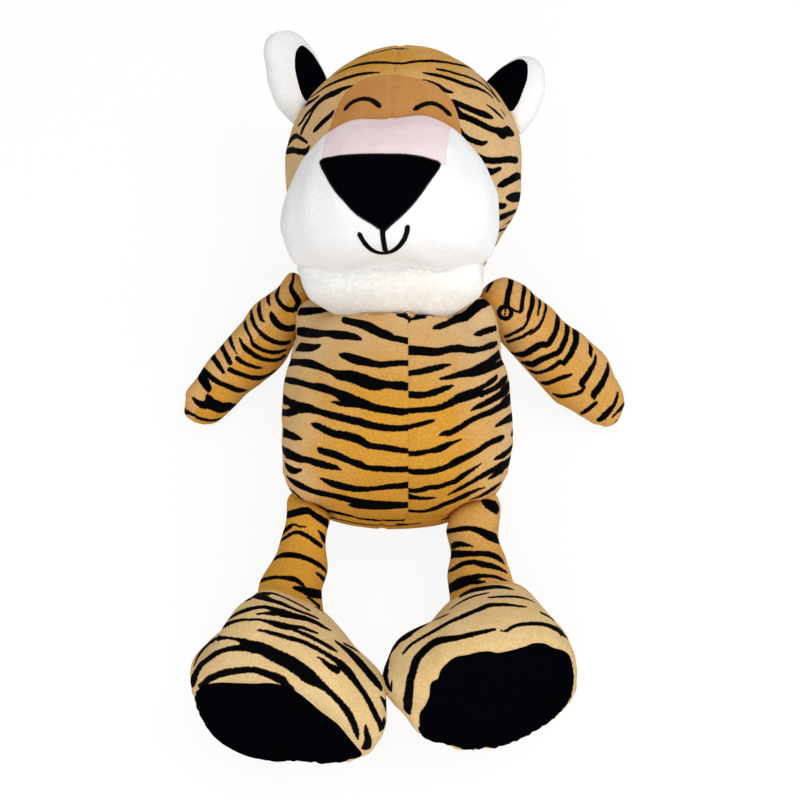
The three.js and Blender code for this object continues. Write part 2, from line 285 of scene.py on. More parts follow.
def relax(mesh, rounds, factors=(0.6, -0.62), share=1.0):
    # takes the flats out of a surface without shrinking it
    places = placesOf(mesh)
    evened = evening(mesh)
    for _ in range(rounds):
        for factor in factors:
            smooth = np.column_stack([evened(places[:, axis]) for axis in range(3)])
            places = places + share * factor * (smooth - places)
    places[:, 2] = np.maximum(places[:, 2], bed)
    setPlaces(mesh, places)


def nearness(places, neighbours, reach):  # 0 beside a neighbour's solid, 1 beyond reach
    free = np.ones(len(places))
    if neighbours:
        tree = treeOf(*[frame["nodes"][node] for node in neighbours])
        for i, place in enumerate(places):
            found = tree.find_nearest(Vector(place), reach)
            if found[0] is not None:
                free[i] = found[3] / reach
    return ease(free)


# how near a neighbour, a seam or the bed the cloth is held back
heldBack = {"besideNeighbour": 0.014, "besideSeam": 0.022, "besideBed": 0.012}
clothFeel = {
    "quality": 4,
    "mass": 0.3,
    "tension_stiffness": 12,
    "compression_stiffness": 12,
    "bending_stiffness": 0.4,
    "use_pressure": True,
    "uniform_pressure_force": 4,
}
clothFrames = 20


def plump(form, travel, seams, neighbours):  # the stuffing swells the cloth between its seams
    mesh = form.data
    start = placesOf(mesh)
    free = nearness(start, neighbours, heldBack["besideNeighbour"])
    for where in seams:
        free = np.minimum(free, ease(where(start) / heldBack["besideSeam"]))
    free *= ease(start[:, 2] / heldBack["besideBed"])
    group = form.vertex_groups.new(name="sewn")
    for i, each in enumerate(free):
        group.add([i], float(1 - each), "REPLACE")
    cloth = form.modifiers.new("Cloth", "CLOTH")
    for key, value in clothFeel.items():
        setattr(cloth.settings, key, value)
    cloth.settings.vertex_group_mass = "sewn"
    cloth.settings.effector_weights.gravity = 0
    cloth.collision_settings.use_collision = False
    for moment in range(1, clothFrames + 1):
        bpy.context.scene.frame_set(moment)
    shown = form.evaluated_get(bpy.context.evaluated_depsgraph_get()).to_mesh()
    moved = placesOf(shown)
    form.modifiers.remove(cloth)
    form.vertex_groups.clear()
    bpy.context.scene.frame_set(1)
    step = moved - start
    length = np.linalg.norm(step, axis=1)
    cap = travel * (0.15 + 0.85 * free)
    step *= np.where(length > cap, cap / np.maximum(length, 1e-9), 1)[:, None]
    moved = start + step
    moved[:, 2] = np.maximum(moved[:, 2], bed)
    setPlaces(mesh, moved)


forms = {}


def stuff(name, nodes, hull, voxel, rounds, travel, seams=(), neighbours=()):
    form = joined(name + "_form", nodes, hull)
    finished(form, "REMESH", mode="VOXEL", voxel_size=voxel * mm)
    relax(form.data, rounds)
    plump(form, travel * mm, seams, neighbours)
    forms[name] = form


def nodesLike(*starts):
    return [node for node in frame["nodes"] if node.startswith(starts)]


torsoSeams = {"front": 11.5 * mm, "back": -9 * mm, "side": 62 * mm}
seamBands = [
    lambda p: np.where(p[:, 2] > torsoSeams["side"], np.abs(p[:, 0] - torsoSeams["front"]), 1),
    lambda p: np.where(p[:, 2] < torsoSeams["side"], np.abs(p[:, 0] - torsoSeams["back"]), 1),
]
armSkins = [s + "_arm_" + part + "_panel" for s in ("left", "right") for part in ("upper", "lower")]
besideTorso = ["chin_panel", "head_left_panel", "head_right_panel"]
besideTorso += ["left_leg_cover", "right_leg_cover"]

# how each form is stuffed: its voxels and how far its cloth may swell are in millimetres
padding = {
    "torso": {
        "nodes": nodesLike("torso_"),
        "hull": False,
        "voxel": 5,
        "rounds": 40,
        "travel": 3.5,
        "seams": seamBands,
        "neighbours": besideTorso + armSkins,
    },
    "skull": {
        "nodes": ["head_left_panel", "head_right_panel", "brow_patch"],
        "hull": True,
        "voxel": 5,
        "rounds": 36,
        "travel": 2.5,
        "neighbours": ["muzzle_cover", "torso_filling"],
    },
    "muzzle": {
        "nodes": ["muzzle_cover", "nose_bridge_panel"],
        "hull": True,
        "voxel": 4.6,
        "rounds": 30,
        "travel": 2.5,
    },
    "chin": {
        "nodes": ["chin_panel"],
        "hull": True,
        "voxel": 4.6,
        "rounds": 24,
        "travel": 2,
        "neighbours": ["torso_filling"],
    },
}
for side in ("left", "right"):
    padding[side + "_ear"] = {
        "nodes": [side + "_ear_lining", side + "_ear_back"],
        "hull": True,
        "voxel": 3.4,
        "rounds": 20,
        "travel": 1.5,
    }
    padding[side + "_arm"] = {
        "nodes": [side + "_arm_upper_panel", side + "_arm_lower_panel"],
        "hull": True,
        "voxel": 3.8,
        "rounds": 24,
        "travel": 1.5,
        "neighbours": ["torso_filling"],
    }
    padding[side + "_leg"] = {
        "nodes": [side + "_leg_cover", side + "_leg_filling"],
        "hull": False,
        "voxel": 3.8,
        "rounds": 24,
        "travel": 1.5,
        "neighbours": ["torso_filling", side + "_foot_upper"],
    }
    padding[side + "_foot"] = {
        "nodes": nodesLike(side + "_foot"),
        "hull": False,
        "voxel": 4.6,
        "rounds": 30,
        "travel": 2.5,
        "neighbours": [side + "_leg_cover"],
    }
for name, each in padding.items():
    stuff(name, **each)

# small pushes that bring the outlines to the photograph: the pixel where the cloth is held, how far
# it goes in pixels, then in millimetres how far towards the camera and how wide the pull is
pushes = {
    "torso": [
        ((272, 435), (8, 0), 0, 62), ((296, 494), (0, 0), 7, 30), ((484, 500), (0, 0), 7, 30),
        ((490, 332), (8, 0), 0, 36), ((312, 314), (-11, -9), 6, 34), ((478, 312), (9, -11), 6, 34),
        ((503, 366), (6, 0), 0, 40),
    ],
    "skull": [
        ((502, 256), (-20, -12), 0, 46), ((526, 165), (-3, 0), 0, 40),
    ],
    "muzzle": [
        ((385, 112), (0, 9), 0, 40), ((283, 225), (-4, 0), 0, 36), ((390, 270), (0, -9), 0, 36),
        ((292, 256), (-1, 7), 0, 24), ((494, 250), (1, 7), 0, 28),
    ],
    "chin": [
        ((494, 262), (-9, 2), 0, 30),
    ],
    "right_arm": [
        ((290, 278), (4, -6), 0, 22), ((266, 284), (7, 6), 0, 28), ((236, 318), (5, 5), 0, 30),
        ((210, 346), (5, 5), 0, 30), ((188, 372), (7, 6), 0, 26), ((176, 396), (7, 2), 0, 22),
        ((181, 414), (6, -2), 0, 24), ((196, 428), (3, -3), 0, 20), ((281, 354), (3, 9), 0, 28),
        ((262, 376), (2, 5), 0, 24),
    ],
    "left_arm": [
        ((554, 315), (2, -4), 0, 26), ((579, 343), (6, -7), 0, 28), ((602, 366), (7, -8), 0, 28),
        ((617, 398), (8, -1), 0, 24), ((575, 420), (2, -6), 0, 26), ((613, 427), (5, 4), 0, 24),
    ],
    "right_ear": [
        ((272, 42), (-5, -3), 0, 24),
    ],
    "right_leg": [
        ((290, 509), (-2, -17), -5, 26), ((281, 522), (7, 0), 0, 22),
        ((337, 541), (-13, 0), 0, 26), ((265, 576), (-6, 4), 0, 20), ((325, 598), (-6, 0), 0, 22),
    ],
    "left_leg": [
        ((497, 510), (1, -17), -5, 26), ((503, 530), (-5, 0), 0, 24), ((449, 575), (-4, 0), 0, 22),
    ],
    "right_foot": [
        ((200, 628), (9, 11), 0, 46), ((212, 716), (-6, 14), 0, 46), ((268, 660), (0, 13), 0, 46),
        ((352, 700), (-4, 12), 0, 34), ((300, 590), (2, 8), 0, 34), ((383, 705), (5, 5), 0, 30),
        ((233, 600), (5, 9), 0, 44), ((215, 622), (5, 9), 0, 40), ((250, 748), (-2, 14), 0, 48),
        ((372, 676), (11, 0), 0, 30), ((335, 620), (-6, 9), 0, 30),
    ],
    "left_foot": [
        ((392, 680), (-14, 0), 0, 40), ((396, 738), (20, -6), 0, 38), ((587, 665), (-9, 5), 0, 44),
        ((560, 605), (-3, 10), 0, 40), ((461, 757), (8, -5), 0, 36), ((440, 612), (-6, 6), 0, 34),
        ((392, 716), (9, -14), 0, 38), ((424, 752), (5, -15), 0, 32),
        ((408, 645), (-9, -10), 0, 34), ((570, 630), (-7, 7), 0, 38),
    ],
}


def pushed(form, at, by, out, reach):
    places = placesOf(form.data)
    sight = towards(*at)
    offset = places - np.array(eye)
    depth = offset @ np.array(sight)
    miss = np.linalg.norm(offset - depth[:, None] * np.array(sight), axis=1)
    held = places[np.argmin(miss + 0.02 * depth)]
    scale = float((Vector(held) - eye).length) / view["focal"]
    move = eyeTurn @ Vector((by[0] * scale, -by[1] * scale, 0)) - sight * out * mm
    share = ease(1 - np.linalg.norm(places - held, axis=1) / (reach * mm))
    setPlaces(form.data, places + share[:, None] * np.array(move))


chestFill = {
    "fromY": 5 * mm,
    "fromZ": 45 * mm,
    "blend": 0.02,
    "halfWidth": 88 * mm,
    "sides": 8 * mm,
    "below": 1 * mm,
    "rounds": 6,
}


def fillChest(mesh):  # the chest is full where the chin lies on it
    hull = joined("chest_hull", nodesLike("torso_"), hull=True)
    tree = treeOf(hull)
    places = placesOf(mesh)
    for i, (x, y, z) in enumerate(places):
        if y > chestFill["fromY"] and z > chestFill["fromZ"]:
            above = tree.ray_cast(Vector((x, y, z)), Vector((0, 0, 1)))[0]
            if above is not None:
                share = float(ease((chestFill["halfWidth"] - abs(x)) / chestFill["sides"]))
                places[i, 2] += (above.z - z - chestFill["below"]) * share
    setPlaces(mesh, places)
    bpy.data.objects.remove(hull)
    full = ease((places[:, 1] - chestFill["fromY"]) / chestFill["blend"])
    full = full * ease((places[:, 2] - chestFill["fromZ"]) / chestFill["blend"])
    relax(mesh, chestFill["rounds"], factors=(0.5,), share=full[:, None])


fillChest(forms["torso"].data)
for name, each in pushes.items():
    for at, by, out, reach in each:
        pushed(forms[name], at, by, out, reach)
print("forms are stuffed:", len(forms))

# seams, gathers and panels
def subdivided(form):
    return finished(form, "SUBSURF", levels=1, render_levels=1)


def ripple(along, spacing, seed):  # an uneven wave, for puckers along a seam
    turnBy = random.Random(seed)
    wave = np.zeros_like(along)
    for share in (1, 1.7, 2.9):
        start = turnBy.uniform(0, 6.28)
        wave += np.sin(2 * math.pi * along / (spacing * mm) * share + start) / share
    return wave / 1.6


# how a seam draws the cloth in, and the puckers beside it: all sizes in millimetres
seamLook = {"depth": 1.3, "width": 2.4, "pucker": 0.35, "puckerWidth": 9, "spacing": 11}
seamStyles = {
    "torso": {},
    "thin": {"depth": 0.9},
    "arm": {"depth": 0.9, "width": 1.8},
    "foot": {"depth": 1.4, "width": 2.2, "pucker": 0.7, "puckerWidth": 11, "spacing": 12},
}


def sink(form, distance, along, style, seed):
    look = {**seamLook, **seamStyles[style]}
    mesh = form.data
    places = placesOf(mesh)
    gap = distance(places)
    groove = look["depth"] * np.exp(-((gap / (look["width"] * mm)) ** 2))
    folds = look["pucker"] * ripple(along(places), look["spacing"], seed)
    folds = folds * np.exp(-((gap / (look["puckerWidth"] * mm)) ** 2))
    setPlaces(mesh, places - normalsOf(mesh) * ((groove + folds) * mm)[:, None])


stuffing = {name: form.data.copy() for name, form in forms.items()}
for form in forms.values():
    subdivided(form)


def within(loop, x, y):  # which points are inside a closed outline
    inside = np.zeros(len(x), bool)
    for (ax, ay), (bx, by) in zip(loop, loop[1:] + loop[:1]):
        if ay != by:
            crossed = ((ay > y) != (by > y)) & (x < (bx - ax) * (y - ay) / (by - ay) + ax)
            inside ^= crossed
    return inside


def spline(a, b, c, d, t):
    return 0.5 * (
        2 * b
        + (c - a) * t
        + (2 * a - 5 * b + 4 * c - d) * t**2
        + (3 * b - a - 3 * c + d) * t**3
    )


def rounded(loop, steps=4, closed=True):  # a smooth line through picked points
    count = len(loop)
    smooth = []
    for i in range(count if closed else count - 1):
        near = []
        for k in (i - 1, i, i + 1, i + 2):
            near.append(loop[k % count] if closed else loop[min(max(k, 0), count - 1)])
        for step in range(steps):
            smooth.append(tuple(spline(*each, step / steps) for each in zip(*near)))
    return smooth if closed else smooth + [tuple(loop[-1])]


def lengthwise(p):
    return p[:, 1]


def fromSide(p):
    return np.abs(p[:, 2] - torsoSeams["side"])


sink(forms["torso"], seamBands[0], lengthwise, "torso", seed=3)
sink(forms["torso"], seamBands[1], lengthwise, "torso", seed=4)
sink(forms["torso"], fromSide, lengthwise, "thin", seed=5)
armSeam = 9 * mm
footRadius = 0.07
soleShape = {"cut": -91 * mm, "pixel": 0.78 * mm, "blend": 0.35, "blendRounds": 40}
soleRims = {  # the seams of the soles, picked in the photograph
    "right": [
        (188, 700), (198, 690), (205, 685), (218, 682.5), (237, 683), (255, 683.5), (270, 683),
        (285, 686), (298.6, 693), (308.6, 700.7), (320, 710.7), (330, 718), (338.6, 725),
        (347, 735), (354, 743.6), (361.4, 752),
    ],
    "left": [
        (419.3, 722), (419.8, 712.9), (425, 705.7), (429.3, 695.7), (430, 687.1), (432.1, 681.4),
        (437.9, 678.6), (440.7, 670), (446.4, 663.6), (455, 657.1), (466.4, 655), (477.9, 652.1),
        (489.3, 651.1), (496.4, 652.9), (506.4, 651.4), (515, 649.3), (525, 646.4), (533.6, 643.1),
        (545, 643.6), (553.6, 647.9), (562.1, 650), (567.9, 653.6), (572, 659), (576, 666),
        (580, 676),
    ],
}
soleRest = {  # closes each of them round its sole
    "right": [(385, 800), (150, 800), (150, 700)],
    "left": [(620, 676), (620, 800), (424, 800), (419, 736)],
}
rimLine = {side: rounded(rim, steps=3, closed=False) for side, rim in soleRims.items()}


def pixelsOf(places):  # where places fall in the photograph
    x, y, z = ((places - np.array(eye)) @ np.array(eyeTurn)).T
    return view["middle"] - x / z * view["focal"], view["middle"] + y / z * view["focal"]


def finderOf(places):
    tree = kdtree.KDTree(len(places))
    for i, place in enumerate(places):
        tree.insert(Vector(place), i)
    tree.balance()
    return tree


def lineGap(line, x, y):  # distances to a row of points joined by straight lines
    gap = np.full(len(x), 1e9)
    for (ax, ay), (bx, by) in zip(line, line[1:]):
        dx, dy = bx - ax, by - ay
        along = np.clip(((x - ax) * dx + (y - ay) * dy) / (dx**2 + dy**2), 0, 1)
        gap = np.minimum(gap, np.hypot(x - ax - along * dx, y - ay - along * dy))
    return gap


def soleField(side, mesh):  # over 0 on the sole of a foot, under 0 above it, 0 along the seam
    places = placesOf(mesh)
    sight = np.array(eye) - places
    facing = np.sum(normalsOf(mesh) * sight, axis=1) / np.linalg.norm(sight, axis=1)
    px, py = pixelsOf(places)
    below = within(rimLine[side] + soleRest[side], px, py)
    shown = lineGap(rimLine[side], px, py) * soleShape["pixel"] * np.where(below, 1, -1)
    hidden = soleShape["cut"] - inBody(side + "_foot", places)[:, 1]
    evened = evening(mesh)
    for _ in range(soleShape["blendRounds"]):
        facing = evened(facing)
    share = ease(facing / soleShape["blend"])
    return shown * share + hidden * (1 - share)


def soleSeam(side):  # how far each place of a foot is from the seam of its sole
    mesh = forms[side + "_foot"].data
    field = soleField(side, mesh)
    places = placesOf(mesh)
    ring = []
    for edge in mesh.edges:
        a, b = edge.vertices
        if (field[a] > 0) != (field[b] > 0):
            ring.append(places[a] + (places[b] - places[a]) * field[a] / (field[a] - field[b]))
    tree = finderOf(ring)
    return lambda p: np.array([tree.find(Vector(place))[2] for place in p])


def scoreSole(side):  # cuts the faces of a foot along that seam, and marks those of the sole
    mesh = forms[side + "_foot"].data
    field = soleField(side, mesh)
    build = bmesh.new()
    build.from_mesh(mesh)
    height = dict(zip(build.verts, field))
    crossed = [face for face in build.faces if len({height[v] > 0 for v in face.verts}) > 1]
    bmesh.ops.triangulate(build, faces=crossed)
    onSeam = set()
    for edge in [e for e in build.edges if (height[e.verts[0]] > 0) != (height[e.verts[1]] > 0)]:
        a, b = edge.verts
        share = min(max(height[a] / (height[a] - height[b]), 0.06), 0.94)
        onSeam.add(bmesh.utils.edge_split(edge, a, share)[1])
    for face in build.faces[:]:
        ends = [v for v in face.verts if v in onSeam]
        if len(ends) == 2:
            bmesh.utils.face_split(face, *ends)
    mark = build.faces.layers.int.new("sole")
    for face in build.faces:
        face[mark] = int(any(height.get(v, 0) > 0 for v in face.verts))
    build.to_mesh(mesh)
    build.free()


def drawSeams(side):
    arm, foot = side + "_arm", side + "_foot"
    seamAt = armSeam if side == "right" else -armSeam

    def fromSeam(p):
        return np.abs(inBody(arm, p)[:, 0] - seamAt)

    def roundFoot(p):
        x, y, z = inBody(foot, p).T
        return np.arctan2(z, x) * footRadius

    sink(forms[arm], fromSeam, lambda p: inBody(arm, p)[:, 1], "arm", seed=6)
    sink(forms[foot], soleSeam(side), roundFoot, "foot", seed=7)
    scoreSole(side)


def fromMiddle(p):
    return np.abs(inBody("head", p)[:, 0])


for side in ("left", "right"):
    drawSeams(side)
sink(forms["skull"], fromMiddle, lambda p: inBody("head", p)[:, 1], "torso", seed=8)

trees = {name: treeOf(form) for name, form in forms.items()}
wholeTree = treeOf(*forms.values())


def buried(tree, place, depth):  # whether a point is that deep inside a closed form
    found = tree.find_nearest(place, 0.2)
    return found[0] is not None and (place - found[0]).dot(found[1]) < -depth


deep = 4 * mm


def trimmed(name, others):  # takes away what lies deep inside a neighbour
    build = bmesh.new()
    build.from_mesh(forms[name].data)
    doomed = []
    boxes = []
    for other in others:
        places = placesOf(forms[other].data)
        boxes.append((trees[other], Vector(places.min(axis=0)), Vector(places.max(axis=0))))
    for face in build.faces:
        middle = face.calc_center_median()
        for tree, low, high in boxes:
            if all(low[i] < middle[i] < high[i] for i in range(3)) and buried(tree, middle, deep):
                doomed.append(face)
                break
    bmesh.ops.delete(build, geom=doomed, context="FACES")
    build.to_mesh(forms[name].data)
    build.free()


outerCount = {}  # how many corners of each piece are on its outer side


def panel(name, form, cuts=(), keep=None, thick=1.6, fold=2.5, layer=None):
    # one panel of cloth: part of a form, its raw edges folded in, sizes in millimetres
    build = bmesh.new()
    build.from_mesh(forms[form].data if isinstance(form, str) else form)
    for point, normal in cuts:
        whole = build.verts[:] + build.edges[:] + build.faces[:]
        plane = {"plane_co": point, "plane_no": normal, "dist": 1e-6}
        bmesh.ops.bisect_plane(build, geom=whole, clear_inner=True, **plane)
    if keep:
        kept = keep(np.array([face.calc_center_median() for face in build.faces]))
        doomed = [face for face, stays in zip(build.faces, kept) if not stays]
        bmesh.ops.delete(build, geom=doomed, context="FACES")
    if layer is not None:
        mark = build.faces.layers.int.get("sole")
        others = [face for face in build.faces if face[mark] != layer]
        bmesh.ops.delete(build, geom=others, context="FACES")
    build.normal_update()
    rim = {}
    for v in build.verts:
        if v.is_boundary:
            rim[v.co.copy().freeze()] = v.normal.copy()
    if fold and rim:
        edges = [e for e in build.edges if e.is_boundary]
        grown = bmesh.ops.extrude_edge_only(build, edges=edges)
        for v in grown["geom"]:
            if isinstance(v, bmesh.types.BMVert):
                v.co -= rim[v.co.copy().freeze()] * fold * mm
    mesh = bpy.data.meshes.new(name)
    build.to_mesh(mesh)
    build.free()
    piece = newPiece(name, mesh)
    outerCount[piece.name] = len(mesh.vertices)
    if rim:
        finished(piece, "SOLIDIFY", thickness=thick * mm, offset=-1)
    for polygon in piece.data.polygons:
        polygon.use_smooth = True
    return piece


def cutLine(mesh, body, loop, closed=False):
    # scores a form along a line drawn on the face, seen from the front
    build = bmesh.new()
    build.from_mesh(mesh)
    straight = list(zip(loop, loop[1:] + loop[:1] if closed else loop[1:]))
    forwards = turn[body] @ Vector((0, 0, 1))
    line = np.array(loop)
    low, high = line.min(axis=0) - 0.006, line.max(axis=0) + 0.006
    spots = inBody(body, np.array([face.calc_center_median() for face in build.faces]))[:, :2]
    around = np.all((spots > low) & (spots < high), axis=1)
    band = {face for face, inside in zip(build.faces, around) if inside}
    band = {face for face in band if face.normal.dot(forwards) > 0}
    for start, end in straight:
        a, b = outOf(body, (*start, 0)), outOf(body, (*end, 0))
        middle, half = (a + b) / 2, (b - a).length / 2 + 3 * mm
        geometry = set()
        for face in band:
            offset = face.calc_center_median() - middle
            offset -= forwards * offset.dot(forwards)
            if offset.length < half:
                geometry.add(face)
                geometry.update(face.edges)
                geometry.update(face.verts)
        plane = {"plane_co": a, "plane_no": (b - a).cross(forwards).normalized(), "dist": 1e-6}
        cut = bmesh.ops.bisect_plane(build, geom=list(geometry), **plane)
        band = {face for face in band if face.is_valid}
        band.update(face for face in cut["geom"] if isinstance(face, bmesh.types.BMFace))
    build.to_mesh(mesh)
    build.free()


def drawn(form, body, pixels):
    # an outline picked in the photograph, laid on a form and seen in a body's frame
    loop = []
    for px, py in pixels:
        hit = trees[form].ray_cast(eye, towards(px, py))[0]
        local = inBody(body, np.array([hit]))[0]
        loop.append((local[0], local[1]))
    return loop


facePixels = {  # lines picked in the photograph
    "brow": [
        (326, 150), (327, 138), (331, 124), (336, 110), (342, 98), (350, 88), (360, 81), (372, 77),
        (386, 75), (400, 75.5), (415, 78), (430, 83), (443, 91), (452, 101), (457, 112),
        (460, 124), (462, 138), (462, 150), (440, 160), (400, 160), (350, 160),
    ],
    "nose": [
        (321, 161.5), (331, 158.3), (342, 156.4), (357, 155.3), (371, 155), (387, 155),
        (403, 155.2), (413, 156.2), (424, 158.2), (433, 161), (439.5, 164), (434, 174),
        (423, 189.5), (413, 203), (401.5, 214.8), (390.5, 224.3), (383.5, 230), (372, 223),
        (357.5, 214), (346, 202), (334.5, 188.4), (326.5, 174.5),
    ],
    "leftEye": [
        (414, 110), (418, 107.3), (423, 104.8), (430, 103.3), (437, 104.7), (444, 109.3),
        (451, 116),
    ],
    "rightEye": [
        (344.5, 110.3), (350, 104), (357, 100.3), (364, 98.8), (371, 100), (376, 103),
        (380.5, 107.3),
    ],
    "mouthLine": [
        (382.3, 228), (383.4, 240), (385.5, 251.5),
    ],
    "smile": [
        (359, 232.5), (361.5, 238), (366, 244.5), (372, 249.8), (379, 252.6), (386, 252.8),
        (393, 250.5), (399, 246), (404, 239.5), (406.8, 232), (407.8, 225),
    ],
}
# the pink panel of the nose's bridge, in the head's frame
bridge = {"half": 49 * mm, "foot": -14 * mm, "top": 0.08, "front": 0.05}
noseLoop = rounded(drawn("muzzle", "head", facePixels["nose"]))
browLoop = rounded(drawn("skull", "head", facePixels["brow"]), steps=2)
noseCloth = forms["muzzle"].data.copy()
hiddenIn = {
    "skull": ["muzzle", "chin"],
    "muzzle": ["skull"],
    "chin": ["skull", "muzzle"],
    "left_ear": ["skull"],
    "right_ear": ["skull"],
}
for name, others in hiddenIn.items():
    trimmed(name, others)
cutLine(forms["skull"].data, "head", browLoop, closed=True)
leftTop, leftFoot = (bridge["half"], bridge["top"]), (bridge["half"], bridge["foot"])
rightTop, rightFoot = (-bridge["half"], bridge["top"]), (-bridge["half"], bridge["foot"])
cutLine(forms["muzzle"].data, "head", [rightTop, rightFoot, leftFoot, leftTop])


def inBrow(places):
    x, y, z = inBody("head", places).T
    return (z > 0) & within(browLoop, x, y)


def inBridge(places):
    x, y, z = inBody("head", places).T
    return (np.abs(x) < bridge["half"]) & (y > bridge["foot"]) & (z > bridge["front"])


pieces = {}
for half, at, way in (("front", torsoSeams["front"], 1), ("back", torsoSeams["back"], -1)):
    for side, hand in (("left", 1), ("right", -1)):
        name = "torso_" + half + "_" + side
        middle = ((at, 0, 0), Vector((hand, 0, 0)))
        level = ((0, 0, torsoSeams["side"]), Vector((0, 0, way)))
        pieces[name] = panel(name, "torso", [middle, level])
for side, hand in (("left", 1), ("right", -1)):
    across = turn["head"] @ Vector((hand, 0, 0))
    name = "head_" + side
    pieces[name] = panel(name, "skull", [(origin["head"], across)], lambda p: ~inBrow(p))
pieces["brow"] = panel("brow", "skull", keep=inBrow)
pieces["muzzle"] = panel("muzzle", "muzzle", keep=lambda p: ~inBridge(p))
pieces["nose_bridge"] = panel("nose_bridge", "muzzle", keep=inBridge)
pieces["chin"] = panel("chin", "chin")
earShape = {
    "left": {"at": (63, 52, -6), "lean": 34, "turn": 38, "side": 1, "split": 2},
    "right": {"at": (77, 73, -6), "lean": 16, "turn": 60, "side": -1, "split": 5},
}
for side, ear in earShape.items():
    earTurn = turn["head"] @ (
        Matrix.Rotation(-ear["side"] * math.radians(ear["lean"]), 3, "Z")
        @ Matrix.Rotation(-ear["side"] * math.radians(ear["turn"]), 3, "Y")
    )
    facing = earTurn @ Vector((0, 0, 1))
    x, y, z = ear["at"]
    split = outOf("head", Vector((x * ear["side"], y, z)) * mm) + facing * ear["split"] * mm
    pieces[side + "_ear_lining"] = panel(side + "_ear_lining", side + "_ear", [(split, facing)])
    pieces[side + "_ear_back"] = panel(side + "_ear_back", side + "_ear", [(split, -facing)])
    arm, foot = side + "_arm", side + "_foot"
    across = turn[arm] @ Vector((ear["side"], 0, 0))
    seamPoint = origin[arm] - across * armSeam
    pieces[arm + "_upper"] = panel(arm + "_upper", arm, [(seamPoint, across)], fold=1.5)
    pieces[arm + "_lower"] = panel(arm + "_lower", arm, [(seamPoint, -across)], fold=1.5)
    pieces[side + "_leg"] = panel(side + "_leg", side + "_leg")
    pieces[foot + "_upper"] = panel(foot + "_upper", foot, layer=0)
    pieces[foot + "_sole"] = panel(foot + "_sole", foot, layer=1)


# the nose, and the embroidered eyes and mouth
def threadShape():  # one short stitch along x, rounded at its ends
    bpy.ops.object.select_all(action="DESELECT")
    bpy.ops.mesh.primitive_cylinder_add(
        vertices=6,
        radius=1,
        depth=2,
        end_fill_type="TRIFAN",
        rotation=(0, math.pi / 2, 0),
    )
    stitch = bpy.context.active_object
    bpy.ops.object.transform_apply(location=True, rotation=True, scale=True)
    bpy.ops.object.mode_set(mode="EDIT")
    for end in (0.7, -0.7):
        bpy.ops.mesh.select_all(action="SELECT")
        bpy.ops.mesh.bisect(plane_co=(end, 0, 0), plane_no=(1, 0, 0))
    bpy.ops.object.mode_set(mode="OBJECT")
    for v in stitch.data.vertices:
        if abs(v.co.x) > 0.9:
            v.co.y *= 0.45
            v.co.z *= 0.45
    faces = [list(p.vertices) for p in stitch.data.polygons]
    shape = placesOf(stitch.data)
    mesh = stitch.data
    bpy.data.objects.remove(stitch)
    bpy.data.meshes.remove(mesh)
    return shape, faces


stitchShape, stitchFaces = threadShape()


def sewn(name, rows, width, spacing=0.55, thread=0.36, lift=0.3, closed=False):
    # satin stitches set side by side across rows of (place, normal) points, sizes in millimetres
    points, faces = [], []
    for row in rows:
        row = row + row[:1] if closed else row
        whole = sum((b - a).length for (a, _), (b, _) in zip(row, row[1:]))
        travelled, due = 0, 0
        for i in range(len(row) - 1):
            (a, na), (b, nb) = row[i], row[i + 1]
            length = (b - a).length
            while due <= travelled + length and length > 0:
                t = (due - travelled) / length
                normal = na.lerp(nb, t).normalized()
                along = (b - a).normalized()
                across = along.cross(normal).normalized()
                up = across.cross(along).normalized()
                if up.dot(normal) < 0:
                    up = -up
                turned = np.array((across, along, up))
                tilt = dice.uniform(-0.1, 0.1)
                end = 1 if closed else 0.55 + 0.45 * float(ease(min(due, whole - due) / (2 * mm)))
                size = np.array((width / 2 * end * dice.uniform(0.92, 1.06), thread, thread)) * mm
                shape = stitchShape * size
                shape[:, 1] += shape[:, 0] * tilt
                start = len(points)
                points += list(shape @ turned + np.array(a.lerp(b, t) + normal * lift * mm))
                faces += [[start + v for v in face] for face in stitchFaces]
                due += spacing * mm
            travelled += length
    mesh = bpy.data.meshes.new(name)
    mesh.from_pydata([tuple(p) for p in points], [], faces)
    check = bmesh.new()
    check.from_mesh(mesh)
    bmesh.ops.recalc_face_normals(check, faces=check.faces[:])
    check.to_mesh(mesh)
    check.free()
    for polygon in mesh.polygons:
        polygon.use_smooth = True
    pieces[name] = newPiece(name, mesh)


def laidRow(form, pixels, steps=5, closed=False):
    row = []
    for px, py in rounded(pixels, steps=steps, closed=closed):
        hit, normal, _, _ = trees[form].ray_cast(eye, towards(px, py))
        row.append((hit, normal))
    return row


for name, form, lines in (
    ("left_eye", "skull", ["leftEye"]),
    ("right_eye", "skull", ["rightEye"]),
    ("mouth", "muzzle", ["mouthLine", "smile"]),
):
    sewn(name, [laidRow(form, facePixels[line]) for line in lines], width=4.3)

# how far the nose stands off, in millimetres: at its edge, further in, and how wide the edge is
noseShape = {"lift": 0.35, "puff": 1.1, "edge": 3.2}


def puffNose(mesh):
    build = bmesh.new()
    build.from_mesh(mesh)
    x, y, z = inBody("head", np.array([face.calc_center_median() for face in build.faces])).T
    kept = (z > 0.03) & within(noseLoop, x, y)
    others = [face for face, stays in zip(build.faces, kept) if not stays]
    bmesh.ops.delete(build, geom=others, context="FACES")
    build.normal_update()
    rim = finderOf([v.co.copy() for v in build.verts if v.is_boundary])
    moves = []
    for v in build.verts:
        inwards = float(ease(rim.find(v.co)[2] / (noseShape["edge"] * mm)))
        moves.append(v.normal * (noseShape["lift"] + noseShape["puff"] * inwards) * mm)
    for v, move in zip(build.verts, moves):
        v.co += move
    build.to_mesh(mesh)
    build.free()


